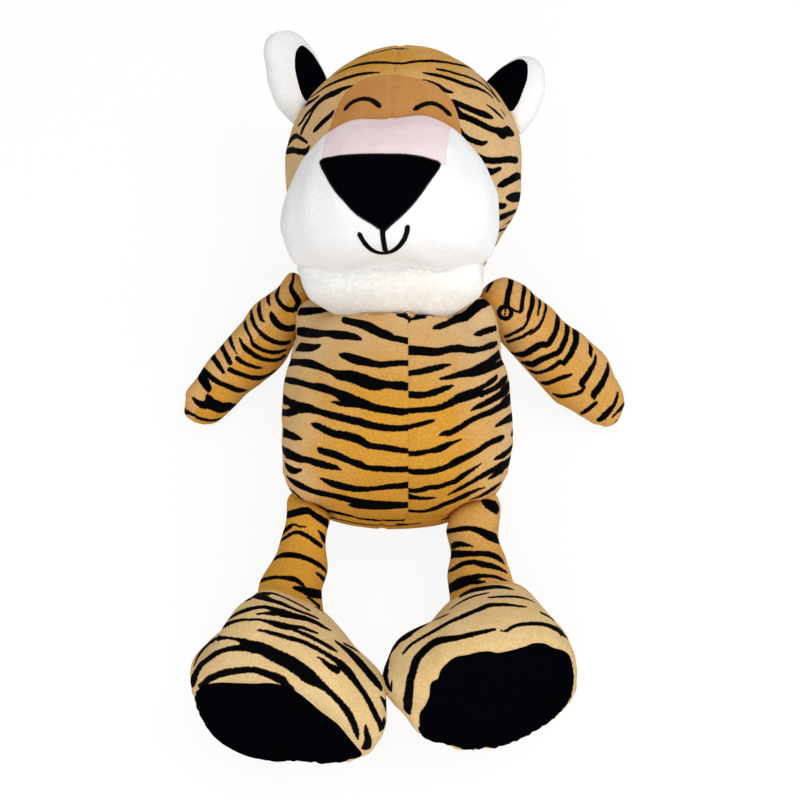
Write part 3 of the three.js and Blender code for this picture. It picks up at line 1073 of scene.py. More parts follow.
cutLine(noseCloth, "head", noseLoop, closed=True)
puffNose(noseCloth)
pieces["nose"] = panel("nose", noseCloth, thick=1.2, fold=1.2)
noseEdge = []
for x, y in rounded(noseLoop[::2], steps=3):
    above = outOf("head", (x, y, 0.3))
    hit, normal, _, _ = trees["muzzle"].ray_cast(above, turn["head"] @ Vector((0, 0, -1)))
    noseEdge.append((hit, normal))
sewn("nose_edge", [noseEdge], width=2.6, spacing=0.95, thread=0.42, lift=0.45, closed=True)


# the stuffing inside
def stuffed(name, parts, shrink=3.2, voxel=7):
    build = bmesh.new()
    for part in parts:
        build.from_mesh(stuffing[part])
    mesh = bpy.data.meshes.new(name)
    build.to_mesh(mesh)
    build.free()
    piece = newPiece(name, mesh)
    finished(piece, "REMESH", mode="VOXEL", voxel_size=voxel * mm)
    relax(piece.data, 6)
    setPlaces(piece.data, placesOf(piece.data) - normalsOf(piece.data) * shrink * mm)
    for polygon in piece.data.polygons:
        polygon.use_smooth = True
    pieces[name] = piece


stuffed("torso_stuffing", ["torso"], shrink=4.5)
stuffed("head_stuffing", ["skull", "muzzle", "chin"], shrink=4.5)
for side in ("left", "right"):
    for limb, voxel in (("ear", 5), ("arm", 5), ("leg", 5), ("foot", 6)):
        stuffed(side + "_" + limb + "_stuffing", [side + "_" + limb], shrink=3.4, voxel=voxel)
print("panels are cut:", len(pieces))

# stripes, picked in the photograph: x, y and half width in its pixels
stripes = {
    "torso_front_right": [
        [(290, 312, 3.5), (300, 311.5, 3.6), (312, 310.8, 3.9), (322, 310.3, 3.4),
         (327, 310.5, 1.5)],
        [(293, 330, 3.6), (310, 333, 4.5), (320, 334, 4.3), (330, 333.4, 3.8), (340, 335, 5),
         (350, 336.3, 4), (357, 338.3, 2.8), (361, 340, 1)],
        [(288, 349, 1.5), (293, 346.7, 3.7), (310, 347.8, 4), (317, 347, 3.3), (320, 345, 1)],
        [(343.5, 317.5, 1.5), (347, 320.4, 4), (355, 322.3, 4.5), (365, 325, 5),
         (375, 330.3, 4.7), (385, 334.4, 4.9), (390, 337.1, 3.7), (400, 339.3, 3.5),
         (410, 341, 3.7)],
        [(385, 311, 1.2), (392, 313, 1.5), (400, 315.6, 2.3), (410, 318.5, 4)],
        [(339.5, 354, 1), (344, 355.3, 3.2), (350, 357.3, 4.2), (357, 359.8, 4.6),
         (365, 361.8, 4.3), (375, 364, 3.5), (382, 364.7, 3.5), (390, 363.7, 3.2), (411, 362.8, 3)],
        [(285, 361, 3), (290, 362.6, 3.4), (300, 362.2, 3), (310, 363.7, 3.9), (320, 367.2, 3.3),
         (330, 371.2, 2.6), (340, 374.8, 5), (350, 376.1, 5.9), (360, 379.4, 6.6),
         (370, 383.2, 6.8), (378, 384.9, 5.9), (384, 384.2, 4.2), (390, 385, 4),
         (400, 385.7, 4.8), (411, 387.2, 3.8)],
        [(283, 379, 2), (290, 380.4, 3.1), (300, 382.6, 3.1), (310, 385.5, 3), (320, 387.2, 4.2),
         (330, 390.3, 4.2), (338, 393.5, 4.5), (345, 397.5, 6.5), (350, 400.4, 6.8),
         (360, 403, 5.5), (370, 406.4, 4.6), (380, 408.9, 4.1), (390, 410.3, 3.9),
         (400, 411.7, 3.9), (411, 411.1, 3.3)],
        [(331.5, 402, 1), (336, 402.5, 2), (342, 404, 2.5), (350, 405, 2.5)],
        [(280, 395, 2.5), (285, 400, 3.5), (290, 402.5, 3.5), (295, 405.5, 4.5),
         (300, 407.6, 5.8), (310, 408.8, 4.4), (320, 411.9, 3.3), (330, 414.7, 3.9),
         (340, 417.2, 4), (350, 419.8, 4), (360, 422, 4.2), (370, 425, 4), (380, 427, 3.8),
         (390, 428.1, 3.4), (400, 428.3, 3.3), (411, 427.4, 3.4)],
        [(280, 411, 2.5), (284, 412.6, 3.1), (290, 412.2, 3.4), (297, 410, 3.5)],
        [(311.5, 423.5, 1), (315, 425, 3), (320, 427, 3.5), (325, 429.8, 3.8), (335, 434, 4),
         (345, 435.5, 4.5), (355, 438.3, 4.5), (360, 440.2, 4.3), (365, 443.5, 4),
         (370, 445.7, 3.3), (380, 447, 3.2), (390, 448.4, 3.4), (400, 450.1, 3.1), (411, 451, 2.8)],
        [(280, 430, 2.5), (285, 432.9, 3.4), (290, 435.1, 3.6), (295, 436.9, 3.4),
         (301.5, 439, 1.2)],
        [(281, 446, 1.5), (285, 451.7, 3.3), (290, 454.7, 4.2), (300, 458.7, 3.9),
         (307, 459.7, 3.2), (315, 462.4, 3.6), (325, 465.2, 3.7), (335, 467.4, 2.9),
         (340.5, 469.8, 0.8)],
        [(285, 462.5, 1), (286, 465.5, 2.5), (290, 469.2, 3.3), (295, 470.6, 3.4),
         (301.3, 469.8, 1.5)],
        [(318.5, 448, 1.5), (321, 450.6, 3.4), (330, 453.2, 3.8), (340, 456.7, 3.9),
         (350, 461.2, 3.3), (360, 464.5, 4), (365, 467, 3), (375, 468.5, 3), (385, 469.1, 3.2),
         (395, 469.6, 3.1), (411, 469.1, 3.2)],
        [(287, 476.5, 1), (290, 479.6, 2), (295, 482.8, 2.7), (300, 485.3, 3.1),
         (310, 490.2, 2.6), (320, 493, 3), (330, 495.1, 2.9), (340, 497.3, 3.2),
         (350, 499.9, 3.2), (357, 502.5, 4.8), (365, 504.7, 5.7), (385, 505.5, 5),
         (395, 505.3, 4.3), (408, 505.2, 3.4)],
        [(349, 505, 1), (353, 505.8, 2.2), (360, 506.5, 3)],
        [(321, 478.5, 1.2), (330, 482.7, 3.2), (340, 485.8, 3.7), (350, 488.1, 3.4),
         (360, 489.2, 3), (370, 488.9, 2.5), (380, 488, 2.5), (390, 486.5, 3), (400, 485.9, 3.1),
         (410, 484.6, 3.5)],
        [(291, 490, 2), (298, 496, 3), (305, 502, 5), (310, 504.5, 5), (320, 507.8, 3.8),
         (330, 511, 2.6), (340, 513.5, 2.5), (350, 516, 2), (360, 518.2, 1.7), (380, 520.3, 1.5),
         (403, 520, 1.6)],
        [(325, 516.5, 1), (335, 518.3, 1.2), (345, 520.8, 1.3), (365, 524.5, 1.2),
         (395, 525.7, 1.1), (409, 524.3, 1.7)],
    ],
    "torso_front_left": [
        [(406, 320.3, 3.5), (415, 318.4, 2.9), (422, 316.7, 3), (430, 315.2, 2.7),
         (437, 313.3, 1.7), (446, 310.3, 0.8)],
        [(434, 328.5, 1.5), (438, 327, 3), (445, 324.3, 3.2), (450, 322.5, 3), (455, 320, 3.6),
         (460, 318, 4.4), (465, 316.2, 4.7), (470, 312.3, 4.8), (475, 307.8, 5), (481, 303, 5),
         (488, 301, 4)],
        [(474.5, 335, 1.2), (478, 334.3, 2.3), (483, 332, 3), (488, 330.4, 3.4),
         (493, 328.9, 3.1), (500.5, 326.2, 2.2)],
        [(406, 349.7, 5), (420, 350.7, 4.7), (436, 351.8, 4.2), (443, 350.6, 3.6),
         (450, 349.1, 3.4), (460, 348.3, 4.2), (468, 349.7, 3.9), (475, 349.5, 3),
         (483, 348.3, 2.3), (490, 345.8, 2.8), (497, 342.8, 2.2)],
        [(407, 373.6, 2.9), (420, 371.7, 3.2), (430, 369.4, 3.4), (440, 366.9, 2.9),
         (445, 365.4, 2.1), (450.5, 364.5, 1)],
        [(440, 378.8, 1.2), (450, 377.1, 2.6), (460, 374.4, 3.2), (470, 372.8, 4.2),
         (478, 370.3, 5.2), (485, 367.3, 6), (491, 364, 6)],
        [(490, 362, 4), (495, 358, 4), (500, 354, 3.4), (504, 350.3, 2)],
        [(490, 367.5, 3.5), (497, 365, 3.1), (503, 361.7, 3), (510, 357, 2.8)],
        [(407, 394.2, 3.7), (420, 395, 3.7), (426, 394.5, 3), (433, 392.7, 3.7),
         (440, 390.2, 3.3), (447, 387.7, 2.7), (453, 385.5, 1)],
        [(406, 410.8, 2.9), (420, 410, 3), (436, 408.7, 3.3), (445, 405.5, 3.5),
         (450, 403.2, 3.8), (455, 400.5, 4), (460, 398, 5), (470, 394.7, 5.2), (480, 391.3, 4.6)],
        [(475, 390.5, 2.6), (485, 385.6, 2.5), (490, 382.3, 2.7), (495, 378.6, 2.3),
         (497, 375.8, 1.2)],
        [(480, 394.5, 3.1), (490, 390.4, 2.9), (495, 387.9, 2.9), (500, 384.5, 3),
         (505, 379.5, 2.6), (507, 376, 1.2)],
        [(471, 410.3, 1), (475, 408, 2), (480, 406, 3), (490, 400.7, 3.4), (500, 395, 3.5),
         (505, 390.3, 3.8), (509, 384.5, 3.2), (511, 377, 1.5)],
        [(439.5, 435.3, 1), (445, 433.4, 2.8), (450, 432.7, 3.2), (460, 427.5, 3),
         (470, 420.8, 3), (480, 416, 3), (490, 412.3, 3.2), (500, 406.8, 3.3), (505, 403, 3.8),
         (510, 398, 4), (513, 393.5, 3.5)],
        [(495.5, 426.3, 1), (500, 423.7, 2.3), (505, 420.8, 2.8), (510, 418, 3.1), (515, 413.7, 4)],
        [(406, 428, 2.6), (415, 425.4, 2.5), (425, 423, 2.5), (430, 421.5, 2.4),
         (434.3, 420.5, 1.2)],
        [(406, 453.8, 2.8), (420, 453, 3), (430, 451, 2.5), (440, 448.7, 3.7), (450, 443.8, 2.4),
         (461.2, 439.5, 0.8)],
        [(405, 470, 2.5), (415, 472, 3), (430, 471.6, 3.1), (440, 469.2, 3.2), (447, 466.9, 2.9),
         (455, 462.3, 3.8), (465, 457.5, 3.5), (475, 452.5, 3), (480, 449.7, 2.8),
         (485, 445.7, 2.8), (490, 442.8, 2.8), (500, 438.5, 3), (504, 436.4, 1.4)],
        [(404, 490.5, 2.5), (413, 490.7, 2.2), (420, 490.3, 2.8), (430, 487.5, 2.5),
         (438, 487, 2.5), (450, 483, 2.5), (455, 481.5, 2.5), (460, 477.8, 2.8), (470, 471, 2.1),
         (481, 464, 0.8)],
        [(448, 494.8, 0.8), (460, 488.5, 2), (470, 483, 2), (478, 478.2, 2.2), (485, 474.2, 2.7),
         (495, 469, 2.7), (500, 467, 4), (505, 465, 4), (509, 461, 3.3), (511, 457, 2.5)],
        [(488.5, 478.5, 0.8), (493, 476, 2), (498, 472.5, 2.8), (503, 469.5, 3)],
        [(495, 459, 1.5), (500, 456.7, 2.3), (505, 454, 2.5), (510, 449.5, 2.5), (512, 446.7, 2.3)],
        [(511, 435.5, 1), (512.5, 432.5, 2.3), (513.5, 429.5, 2.3)],
        [(403, 495.3, 3), (410, 496.7, 2.7), (420, 498.3, 1.9), (430, 498.1, 1.6),
         (435.5, 497.7, 0.8)],
        [(401, 508.6, 1.6), (409, 510.8, 1.8), (420, 511.5, 2), (426, 511, 2), (435, 508.5, 2.5),
         (445, 504, 2.5), (455, 500.2, 2.3), (465, 495.5, 2.5), (470, 493, 2), (478, 489.5, 1.5),
         (484.5, 487.5, 0.8)],
        [(470, 500, 0.8), (480, 496.3, 1.7), (490, 490.8, 2.2), (496, 486.7, 2.2),
         (500, 483.5, 1.6)],
        [(442, 519.5, 0.8), (450, 517.5, 1.3), (460, 514.5, 1.5), (472, 510, 1.5)],
        [(398, 524.2, 1.7), (410, 524.2, 1.3), (420, 523.2, 0.9)],
    ],
    "right_arm": [
        [(295, 269, 1), (293.4, 276, 1.4), (292.5, 282, 1.7), (291, 287.5, 2.4),
         (292.8, 292, 2.8), (296, 297, 3.2), (298.5, 302, 3.2), (297, 308, 3.5)],
        [(281, 280, 1.5), (279, 287, 1.8), (277, 293, 2), (277, 298, 2), (279.5, 302.5, 2.3),
         (283, 306.5, 2.5), (288, 309.5, 2.7), (293, 310, 2.8)],
        [(269.4, 291.1, 1.2), (268.3, 295, 1.8), (268.3, 300.5, 1.7), (270, 305.5, 0.8)],
        [(259.4, 301.7, 1.3), (258.9, 307.2, 2), (259.4, 312.8, 2.2), (261.1, 318.3, 2.3),
         (263.5, 321.1, 1.5)],
        [(251.1, 310, 1.4), (251.7, 317.2, 2), (253.9, 323.9, 2), (257.2, 328.9, 1.8),
         (259.4, 331.7, 2.2), (263.9, 336.1, 2.6), (269.4, 339.4, 2.6), (276.1, 342.2, 2.5),
         (282.8, 343.3, 2.3), (289.4, 342.2, 1.8)],
        [(244.4, 316.1, 1.5), (245, 323.9, 1.7), (247.2, 330.5, 1.8), (251, 338, 1.4),
         (252.8, 343.9, 2.2), (258.3, 347.8, 2.3), (263.9, 350.5, 2.1), (271.7, 352.2, 2),
         (278.3, 352.2, 1.9), (286.1, 349.7, 1.2)],
        [(229.4, 332.8, 1.3), (230, 338.3, 1.8), (232.2, 345, 1.8), (236.5, 353.5, 0.7)],
        [(220.5, 341.7, 1.8), (222.8, 348.3, 2.3), (225.5, 353.9, 2.5), (228.3, 359.4, 2.8),
         (230.5, 363.3, 2.3)],
        [(211.1, 352.8, 2), (213.9, 358.3, 2.7), (220.5, 367.8, 2.5), (223.9, 372.8, 1.5)],
        [(200, 369, 2.5), (201, 373, 4), (202.2, 377.2, 4.5), (205, 382.8, 4.5),
         (208.3, 388.3, 3.6), (208.5, 391.7, 1.5)],
        [(201.7, 367.2, 1.5), (206, 372.8, 3), (211.7, 377.8, 3), (219.4, 382.8, 2.5),
         (226.1, 385.5, 2.7), (232.8, 388.3, 2.9), (239.4, 390.5, 2.5), (247.2, 390.3, 0.8)],
        [(192.8, 397.5, 1.2), (197.2, 402.2, 2.8), (203, 405, 4), (209.4, 404, 5.2),
         (215, 405.5, 6), (221.7, 407.8, 5.3), (228.3, 407.2, 4.5), (235, 406.7, 2.8),
         (239.5, 405.2, 1.8)],
        [(207, 395, 1), (209.4, 400, 4.5), (213, 404, 5)],
        [(184, 408.3, 2), (185.5, 411.5, 2.5), (189.4, 412.8, 2), (199.4, 418.3, 2),
         (206.1, 420, 2), (212.8, 420.5, 2), (219.4, 418.9, 1.3), (227.2, 414.4, 0.8)],
        [(271, 312, 1.2), (272.5, 316.5, 3.2), (276, 322.5, 3.7), (281, 326.5, 3.5),
         (287, 328.6, 3.2), (293, 328, 3.2)],
        [(239.4, 338.3, 1), (241.7, 342.8, 1.8), (245, 347.8, 2.8), (250.5, 352.2, 2.7),
         (256.1, 356.1, 2.6), (263.9, 359.2, 2.2), (271.7, 360.3, 1.9), (279.4, 359.4, 1.8),
         (283.9, 356.1, 2)],
        [(237.2, 358.3, 2.5), (241.7, 361.7, 2.4), (247.2, 364.4, 2.2), (253.9, 366.7, 1.9),
         (261.7, 368.3, 1)],
        [(229.4, 369.4, 2.5), (235, 372.2, 2.6), (241.7, 374.4, 2.5), (248.3, 376.7, 2.3),
         (255, 377.8, 2.5), (261.7, 377.8, 2.4), (269.4, 374.4, 1.9), (275, 370.5, 1.2)],
    ],
    "left_arm": [
        [(493.3, 276, 3.3), (491.1, 281.7, 3.2), (488.9, 287.2, 2.3), (486.7, 291.1, 1.5)],
        [(511.1, 278.3, 2.2), (510.5, 285, 2.8), (508.3, 292.8, 3), (507.2, 299.4, 3.2),
         (506.7, 303.9, 3.2)],
        [(523.9, 284.4, 1.8), (524.4, 289.4, 2), (523.3, 295, 2.2), (522.2, 301.7, 2.2),
         (521.7, 309.4, 2.3), (518.9, 312.2, 1.5), (512.2, 309.4, 1.5)],
        [(505.2, 306.3, 2.4), (509.6, 308.1, 2.4), (511.4, 312.5, 2.4), (509.6, 316.9, 2.4),
         (505.2, 318.7, 2.4), (500.8, 316.9, 2.4), (499, 312.5, 2.4), (500.8, 308.1, 2.4),
         (505.2, 306.3, 2.4)],
        [(505.5, 309.5, 0.9), (505, 315, 0.9)],
        [(530, 290, 1), (532.2, 294, 2), (532.8, 299.5, 2.4), (532, 305, 2.4),
         (530.5, 310.5, 2.4), (528.5, 316, 2.2), (527.5, 321, 1.5), (524.4, 326.7, 1.8),
         (519, 330.5, 2), (512.2, 333.9, 1.8), (505.5, 336.8, 1.8)],
        [(536.7, 294.4, 1), (538.9, 297.2, 1.3), (539.8, 302.8, 1.4), (538.9, 309.4, 1.3),
         (537.8, 315, 1)],
        [(544.4, 300.5, 1.2), (545.9, 306.1, 1.4), (544.8, 312.8, 1.5), (542.8, 319.4, 1.6),
         (538.9, 326.1, 1.8), (534.4, 330.5, 2), (530.5, 334.4, 1.2)],
        [(532.2, 329.4, 1), (527.8, 333.3, 1.8), (522.2, 336.7, 1.8), (515.5, 339.4, 1.6),
         (507.8, 341.7, 1.8)],
        [(556.7, 311.7, 1.8), (557.8, 318.3, 2.4), (557.2, 325, 2.7), (555.5, 331.7, 2.7),
         (552.8, 337.2, 3), (550, 341.7, 3.2), (546.7, 345, 3), (542.2, 344.5, 3.5),
         (535.5, 347.2, 3.7), (528.9, 351.7, 3.5), (522.2, 354.4, 2.8), (515.5, 354.4, 2),
         (510, 352.2, 1.5)],
        [(566.1, 321.7, 1.8), (567.2, 327.2, 2.3), (566.7, 333.9, 2.5), (565, 340.5, 2.8),
         (561.7, 347.2, 3), (557.8, 352.8, 3), (552.2, 354.9, 3), (545.5, 357.7, 3),
         (538.9, 360.5, 3.3), (533.3, 363.9, 3.4), (527.8, 363.9, 2.8), (522.2, 362.8, 1.5)],
        [(575.5, 330.5, 3), (576.1, 337.2, 3), (575.5, 342.8, 3.2), (572.8, 349.4, 3.2),
         (570, 355, 3), (566.7, 359.4, 3), (563.9, 363.3, 2.8)],
        [(560, 361.7, 2.5), (556.7, 364.4, 2.5), (551.1, 368.3, 2.3), (544.4, 371.1, 1.8),
         (537.8, 372.8, 1.8), (532.2, 371.7, 1.8), (529, 370, 1.2)],
        [(589.4, 343.9, 1.2), (590.9, 348.3, 2.1), (590.5, 352.8, 2), (591.1, 356.7, 1)],
        [(595.5, 355.5, 1.2), (595, 361.7, 2), (592.2, 367.2, 2.5), (588.9, 372.8, 3),
         (585, 378.3, 3.3), (582, 383, 3.4), (583.6, 388, 2), (580, 392.2, 2), (573.3, 394.4, 2),
         (565.5, 396.1, 2), (558.9, 396.1, 1.9), (553.3, 393.9, 1.2)],
        [(607.8, 363.9, 1.5), (607.8, 369.4, 2.2), (605.5, 376.1, 2.7), (602.2, 382.8, 3.2),
         (597.8, 389.4, 3.5), (593.9, 394.4, 3.4), (594.4, 398.3, 1.5)],
        [(571.1, 375, 1.5), (566.7, 376.1, 2.2), (560, 378.3, 2.4), (553.3, 381.1, 2.4),
         (546.7, 383.3, 2.2), (541.1, 382.8, 1.5)],
        [(596.1, 402.8, 2), (592.2, 406.1, 2.3), (586.7, 410.5, 2.2), (581.1, 413.9, 1.5)],
        [(617.8, 392.8, 1), (616.7, 398.3, 1.8), (613.9, 405, 2), (609.4, 410.5, 3),
         (604.4, 416.1, 3.2), (600, 420, 3)],
        [(619.4, 380.5, 1), (621.7, 386.7, 0.9)],
        [(624, 403.9, 1.8), (621.1, 408.3, 2.2), (616.7, 412.8, 1.3), (612.2, 417.2, 1)],
        [(616.5, 421.5, 2), (621, 421, 1.6)],
    ],
    "right_leg": [
        [(287, 515, 3), (297.1, 512.1, 3.8), (304.3, 510.7, 4), (309, 510.7, 3)],
        [(307, 509, 2.6), (312.9, 513.6, 3), (321.4, 519.3, 3.5), (330, 525.7, 3.5),
         (333.6, 529.3, 2)],
        [(280, 537.9, 1.5), (285, 530.7, 2.5), (290, 526.4, 2), (294.3, 524.6, 1.4),
         (300, 526.7, 1.2), (305.7, 526.7, 0.7)],
        [(278.6, 542.1, 1), (287.1, 536.4, 1.8), (294.3, 532.4, 1.9), (301.4, 533.1, 2.2),
         (310, 537.9, 2.3), (317.1, 542.9, 2.3), (321.4, 546.4, 1.8)],
        [(318.6, 530.7, 1), (322.9, 536.4, 2.5), (324.3, 540, 2.5)],
        [(265.7, 567.9, 1.2), (271.4, 561.4, 2), (280, 555.7, 2.4), (290, 555, 3),
         (300, 556.4, 2.8), (308.6, 559.3, 2.5), (317.1, 563.6, 2.3), (324.3, 569.3, 1.8),
         (327.1, 574.3, 1.2)],
        [(316.4, 572.9, 1), (321.4, 577.1, 2), (325.7, 581.4, 1.8)],
        [(255.7, 586.4, 1.2), (261.4, 580.7, 2), (271.4, 577.9, 1.8), (281.4, 577.4, 1.8),
         (291.4, 578.6, 2.8), (297.1, 580.7, 2.5), (302.9, 585, 1.8)],
        [(294.3, 587.6, 1.8), (301.4, 589.3, 3.3), (308.6, 592.1, 4.5), (315.7, 593.6, 4.5),
         (322.9, 595, 3)],
        [(308.6, 597.9, 1.8), (314.3, 602.9, 2), (319.3, 607.1, 2)],
    ],
    "left_leg": [
        [(483.6, 500.7, 2), (489.3, 504.3, 5), (495, 507.1, 5.5)],
        [(447.1, 531.4, 2.2), (455, 530, 2.7), (463.6, 528.6, 2.7), (472.1, 528.6, 2.8),
         (480.7, 531.4, 3.7), (489.3, 535.7, 4.5), (496.4, 538.6, 4.5)],
        [(452.1, 546.4, 2.5), (457.9, 544.3, 3.2), (465, 544.6, 2.2), (472.9, 546.4, 0.8)],
        [(449, 561, 1.8), (451, 554.8, 3.2), (460.7, 554, 3.5), (472.1, 553.9, 3),
         (483.6, 553.6, 3), (492.1, 555, 3), (499.3, 558.6, 3), (503.6, 562.9, 1.5)],
        [(448.6, 571.4, 1.2), (455, 567.9, 2), (463.6, 563.6, 2.5), (473.6, 562.1, 2.7),
         (482.1, 564.3, 3.3), (490.7, 565.7, 3), (497.9, 567.9, 2.3), (506.4, 572.1, 1.2)],
        [(447.1, 590.7, 3.5), (452.1, 587.1, 4), (460.7, 582.9, 5.2), (469.3, 580, 4.8),
         (477.9, 576.4, 2.8), (486.4, 576, 2), (496.4, 577.1, 1.8), (505, 580.7, 1.4),
         (513.6, 585, 1)],
        [(470, 582, 2.5), (477.9, 582.1, 2.5), (484.3, 582.1, 1.3)],
        [(463.6, 592.9, 1.5), (472.1, 589.3, 2.2), (482.1, 587.1, 2.5), (492.1, 586, 1.8),
         (500.7, 586.4, 1.5), (507.9, 588.6, 1.2), (515, 590.7, 0.8)],
    ],
    "right_foot_upper": [
        [(248.6, 599.3, 1.8), (252.9, 594.3, 3), (260, 594.3, 3.5), (270, 592.9, 2),
         (280, 595.7, 1.3), (290, 600, 1.1), (300, 605, 1), (308.6, 610, 0.9)],
        [(256, 596, 2), (260, 596.4, 2.5), (270, 600, 2), (280, 602.9, 1.8), (290, 607.1, 1.5),
         (300, 611.4, 1.4), (308.6, 614.3, 1.2), (317, 618, 1)],
        [(227.1, 620, 1), (237.1, 613.6, 1.5), (248.6, 609.3, 2), (260, 607.1, 1.8),
         (268.6, 607.6, 2), (280, 612, 4), (290, 615, 3.5), (300, 617.1, 2.8),
         (308.6, 619.3, 2.5), (317.1, 622.9, 2), (324.3, 627.1, 1.5), (330, 630, 0.8)],
        [(257.1, 613.9, 1), (265.7, 613.3, 1.5), (274.3, 613.3, 3)],
        [(209.3, 637.9, 0.8), (217.1, 630.7, 1.2), (225.7, 625, 1.5), (237.1, 620.7, 1.5),
         (250, 619.7, 1.4), (260, 619.7, 1.4), (270, 622.1, 2.3), (280, 625, 3.5),
         (290, 627.1, 3), (300, 627.1, 1.8), (308.6, 630, 1.7), (317.1, 633.1, 1)],
        [(292, 628.5, 2), (300, 632.1, 2), (308.6, 635.7, 2.1), (318.6, 640.7, 2),
         (328.6, 646.4, 2), (336.4, 651, 1)],
        [(257.9, 630, 1), (265.7, 631.4, 1.8), (277.1, 634.3, 2.3), (288.6, 637.9, 2.5),
         (300, 640.7, 2.3), (308.6, 644.3, 2.5), (317.1, 648.6, 2.3), (325.7, 653.6, 2.3),
         (337.1, 661, 3), (342.9, 666.4, 4.2), (350, 673.6, 4), (357.1, 683.6, 3),
         (364.3, 693.6, 2.8), (370, 703.6, 2.8), (375.7, 715, 2.8), (380, 723.6, 2.3),
         (380.3, 730.7, 1)],
        [(317.9, 657.1, 1), (322.9, 660, 1.8), (330, 666.4, 3), (337.1, 670, 4)],
        [(190, 685.7, 1.5), (194.3, 677.9, 2.3), (198.6, 667.9, 2), (205.7, 660.7, 2),
         (215.7, 653.6, 2.4), (227.1, 649.3, 2.6), (237.1, 647.9, 3.3), (245, 647.5, 4)],
        [(194.3, 665, 0.8), (200, 653.6, 1.2), (207.1, 645, 1.8), (215.7, 639.3, 2),
         (227.1, 637.9, 1.6), (237.1, 639.3, 1.8), (243, 642.1, 4), (250, 646.4, 6.3),
         (260, 647.9, 6.3), (270, 652.9, 6.8), (280, 657.9, 7), (290, 662.9, 7.3),
         (300, 669.3, 7.5), (308.6, 676.4, 7.6), (315.7, 681.5, 5.8), (322.9, 686.4, 3.9),
         (331.4, 693.6, 3.2), (340, 702.1, 3.3), (348.6, 713.6, 3.8), (353.6, 723.6, 3.3),
         (356.4, 732.1, 2.8), (357.9, 739.3, 1.3)],
        [(365.7, 725, 1), (366.4, 732.1, 2.7), (367.9, 740.7, 3.5), (366.4, 747.9, 3.5)],
        [(335.7, 641.4, 1), (344.3, 647.9, 2), (352.9, 655, 3), (360, 662.1, 3.5),
         (367.1, 670.7, 3.5), (374.3, 679.3, 3.5), (380, 686.4, 2.5), (381.4, 690, 1)],
        [(344.3, 643.6, 0.8), (364.3, 655, 1), (375.7, 665, 1.3), (382.9, 673.6, 2.3),
         (385.7, 685, 2.6), (388, 695, 1.5)],
        [(380.7, 697.1, 1), (385, 703.6, 1.8), (387.5, 709.3, 2.3)],
        [(384, 720, 1.2), (383.5, 726.4, 2.4)],
        [(303, 595, 2.5), (309, 599, 3.5), (315, 604, 3.4), (319.5, 609, 2.2)],
        [(201, 687, 3), (208, 680, 3.2), (217, 675.5, 3.3), (227, 672.3, 3.3), (240, 670.5, 3.2),
         (253, 669.8, 3.3), (263, 672.5, 3.6), (272, 676, 4), (281, 680.5, 4.5), (288, 686.5, 4),
         (293, 692, 2.5)],
    ],
    "left_foot_upper": [
        [(464, 594, 2.4), (472, 590.5, 2.5), (482, 588.5, 2.6), (495, 586.7, 2.5),
         (505, 587.5, 2), (511, 589, 1.2)],
        [(450.7, 608.6, 0.7), (460.7, 602.1, 1.2), (469.3, 597.9, 1.2), (477.9, 595, 1),
         (487.1, 593.1, 0.8)],
        [(490, 597.4, 0.9), (499.3, 596.7, 1.1), (509.3, 596.4, 1.2), (519.3, 597.1, 1.2),
         (527.9, 599.3, 1.1), (534.3, 602.1, 0.8)],
        [(403.6, 652.9, 1.3), (410.7, 645, 1.6), (419.3, 639.3, 1.6), (429.3, 633.6, 1.7),
         (439.3, 627.9, 1.7), (449.3, 622.1, 1.7), (460.7, 617.1, 2.2), (472.1, 612.1, 2.2),
         (480.7, 608.6, 2.2), (487.9, 605.4, 2.2), (497.9, 604.6, 1.9), (507.9, 604.7, 1.6),
         (517.9, 606, 1.2), (525.7, 606.9, 0.8)],
        [(390, 690, 1.2), (387.9, 685.7, 2), (385.5, 676, 2.2), (386, 667, 2.4),
         (387.8, 658, 2.4), (392, 649, 2.4), (399, 641, 2.4), (407.9, 634.6, 2.2),
         (417.9, 628.1, 2), (428, 622.9, 1.6), (437.9, 618.5, 1.3), (447.1, 614.6, 0.8)],
        [(407.1, 710.7, 3.2), (407.9, 701.4, 4), (409.3, 690, 4.1), (410, 680, 4.1),
         (412.9, 671.4, 4.1), (415.7, 661.4, 4.1), (420.7, 654.3, 4), (427.9, 647.1, 3.8),
         (436.4, 641.4, 3.6), (446.4, 639.3, 3.3), (456.4, 637.9, 3), (466.4, 635.7, 2.7),
         (475, 633.6, 2.5), (485, 631.4, 2.2), (495, 629.3, 1.4)],
        [(500.7, 630.7, 0.9), (506.4, 630.7, 1.6), (513.6, 626.4, 1.9), (522.1, 624.3, 2),
         (532.1, 623.6, 2), (542.1, 624, 1.9), (550.7, 626.4, 2), (559.3, 630.7, 2.2),
         (565, 635.7, 2.4), (570.7, 642.9, 1.5), (573.5, 649.3, 1)],
        [(541.4, 612.9, 0.9), (547.9, 616, 1), (554, 620, 0.9)],
        [(391.8, 681.4, 0.9), (391.2, 688.6, 1)],
    ],
    "head": [
        [(369.3, 50.5, 0.9), (380.7, 46.5, 1.1), (389.3, 44.8, 1.3), (399.3, 44, 1.3),
         (403.6, 44.8, 1.3), (412.1, 44, 1.3), (419.3, 44.2, 1), (429.3, 46, 0.8),
         (437.9, 48.5, 0.8), (446.4, 52.8, 0.9), (455, 57, 0.8)],
        [(329.3, 72.9, 1), (337.9, 66.4, 1.2), (349.3, 61.4, 1.2), (360.7, 57.1, 1.3),
         (372.1, 53.6, 1.2), (383.6, 50.7, 1.5), (392.1, 48.9, 1.3), (400.7, 48.9, 1.4),
         (408.6, 48.9, 0.7)],
        [(333.6, 75.7, 0.8), (340.7, 71.4, 1.5), (350.7, 66.9, 1.8), (360.7, 64.3, 2.2),
         (372.1, 62.6, 2.1), (383.6, 62.6, 2), (395, 63.3, 1.6), (403.6, 63.3, 1.7),
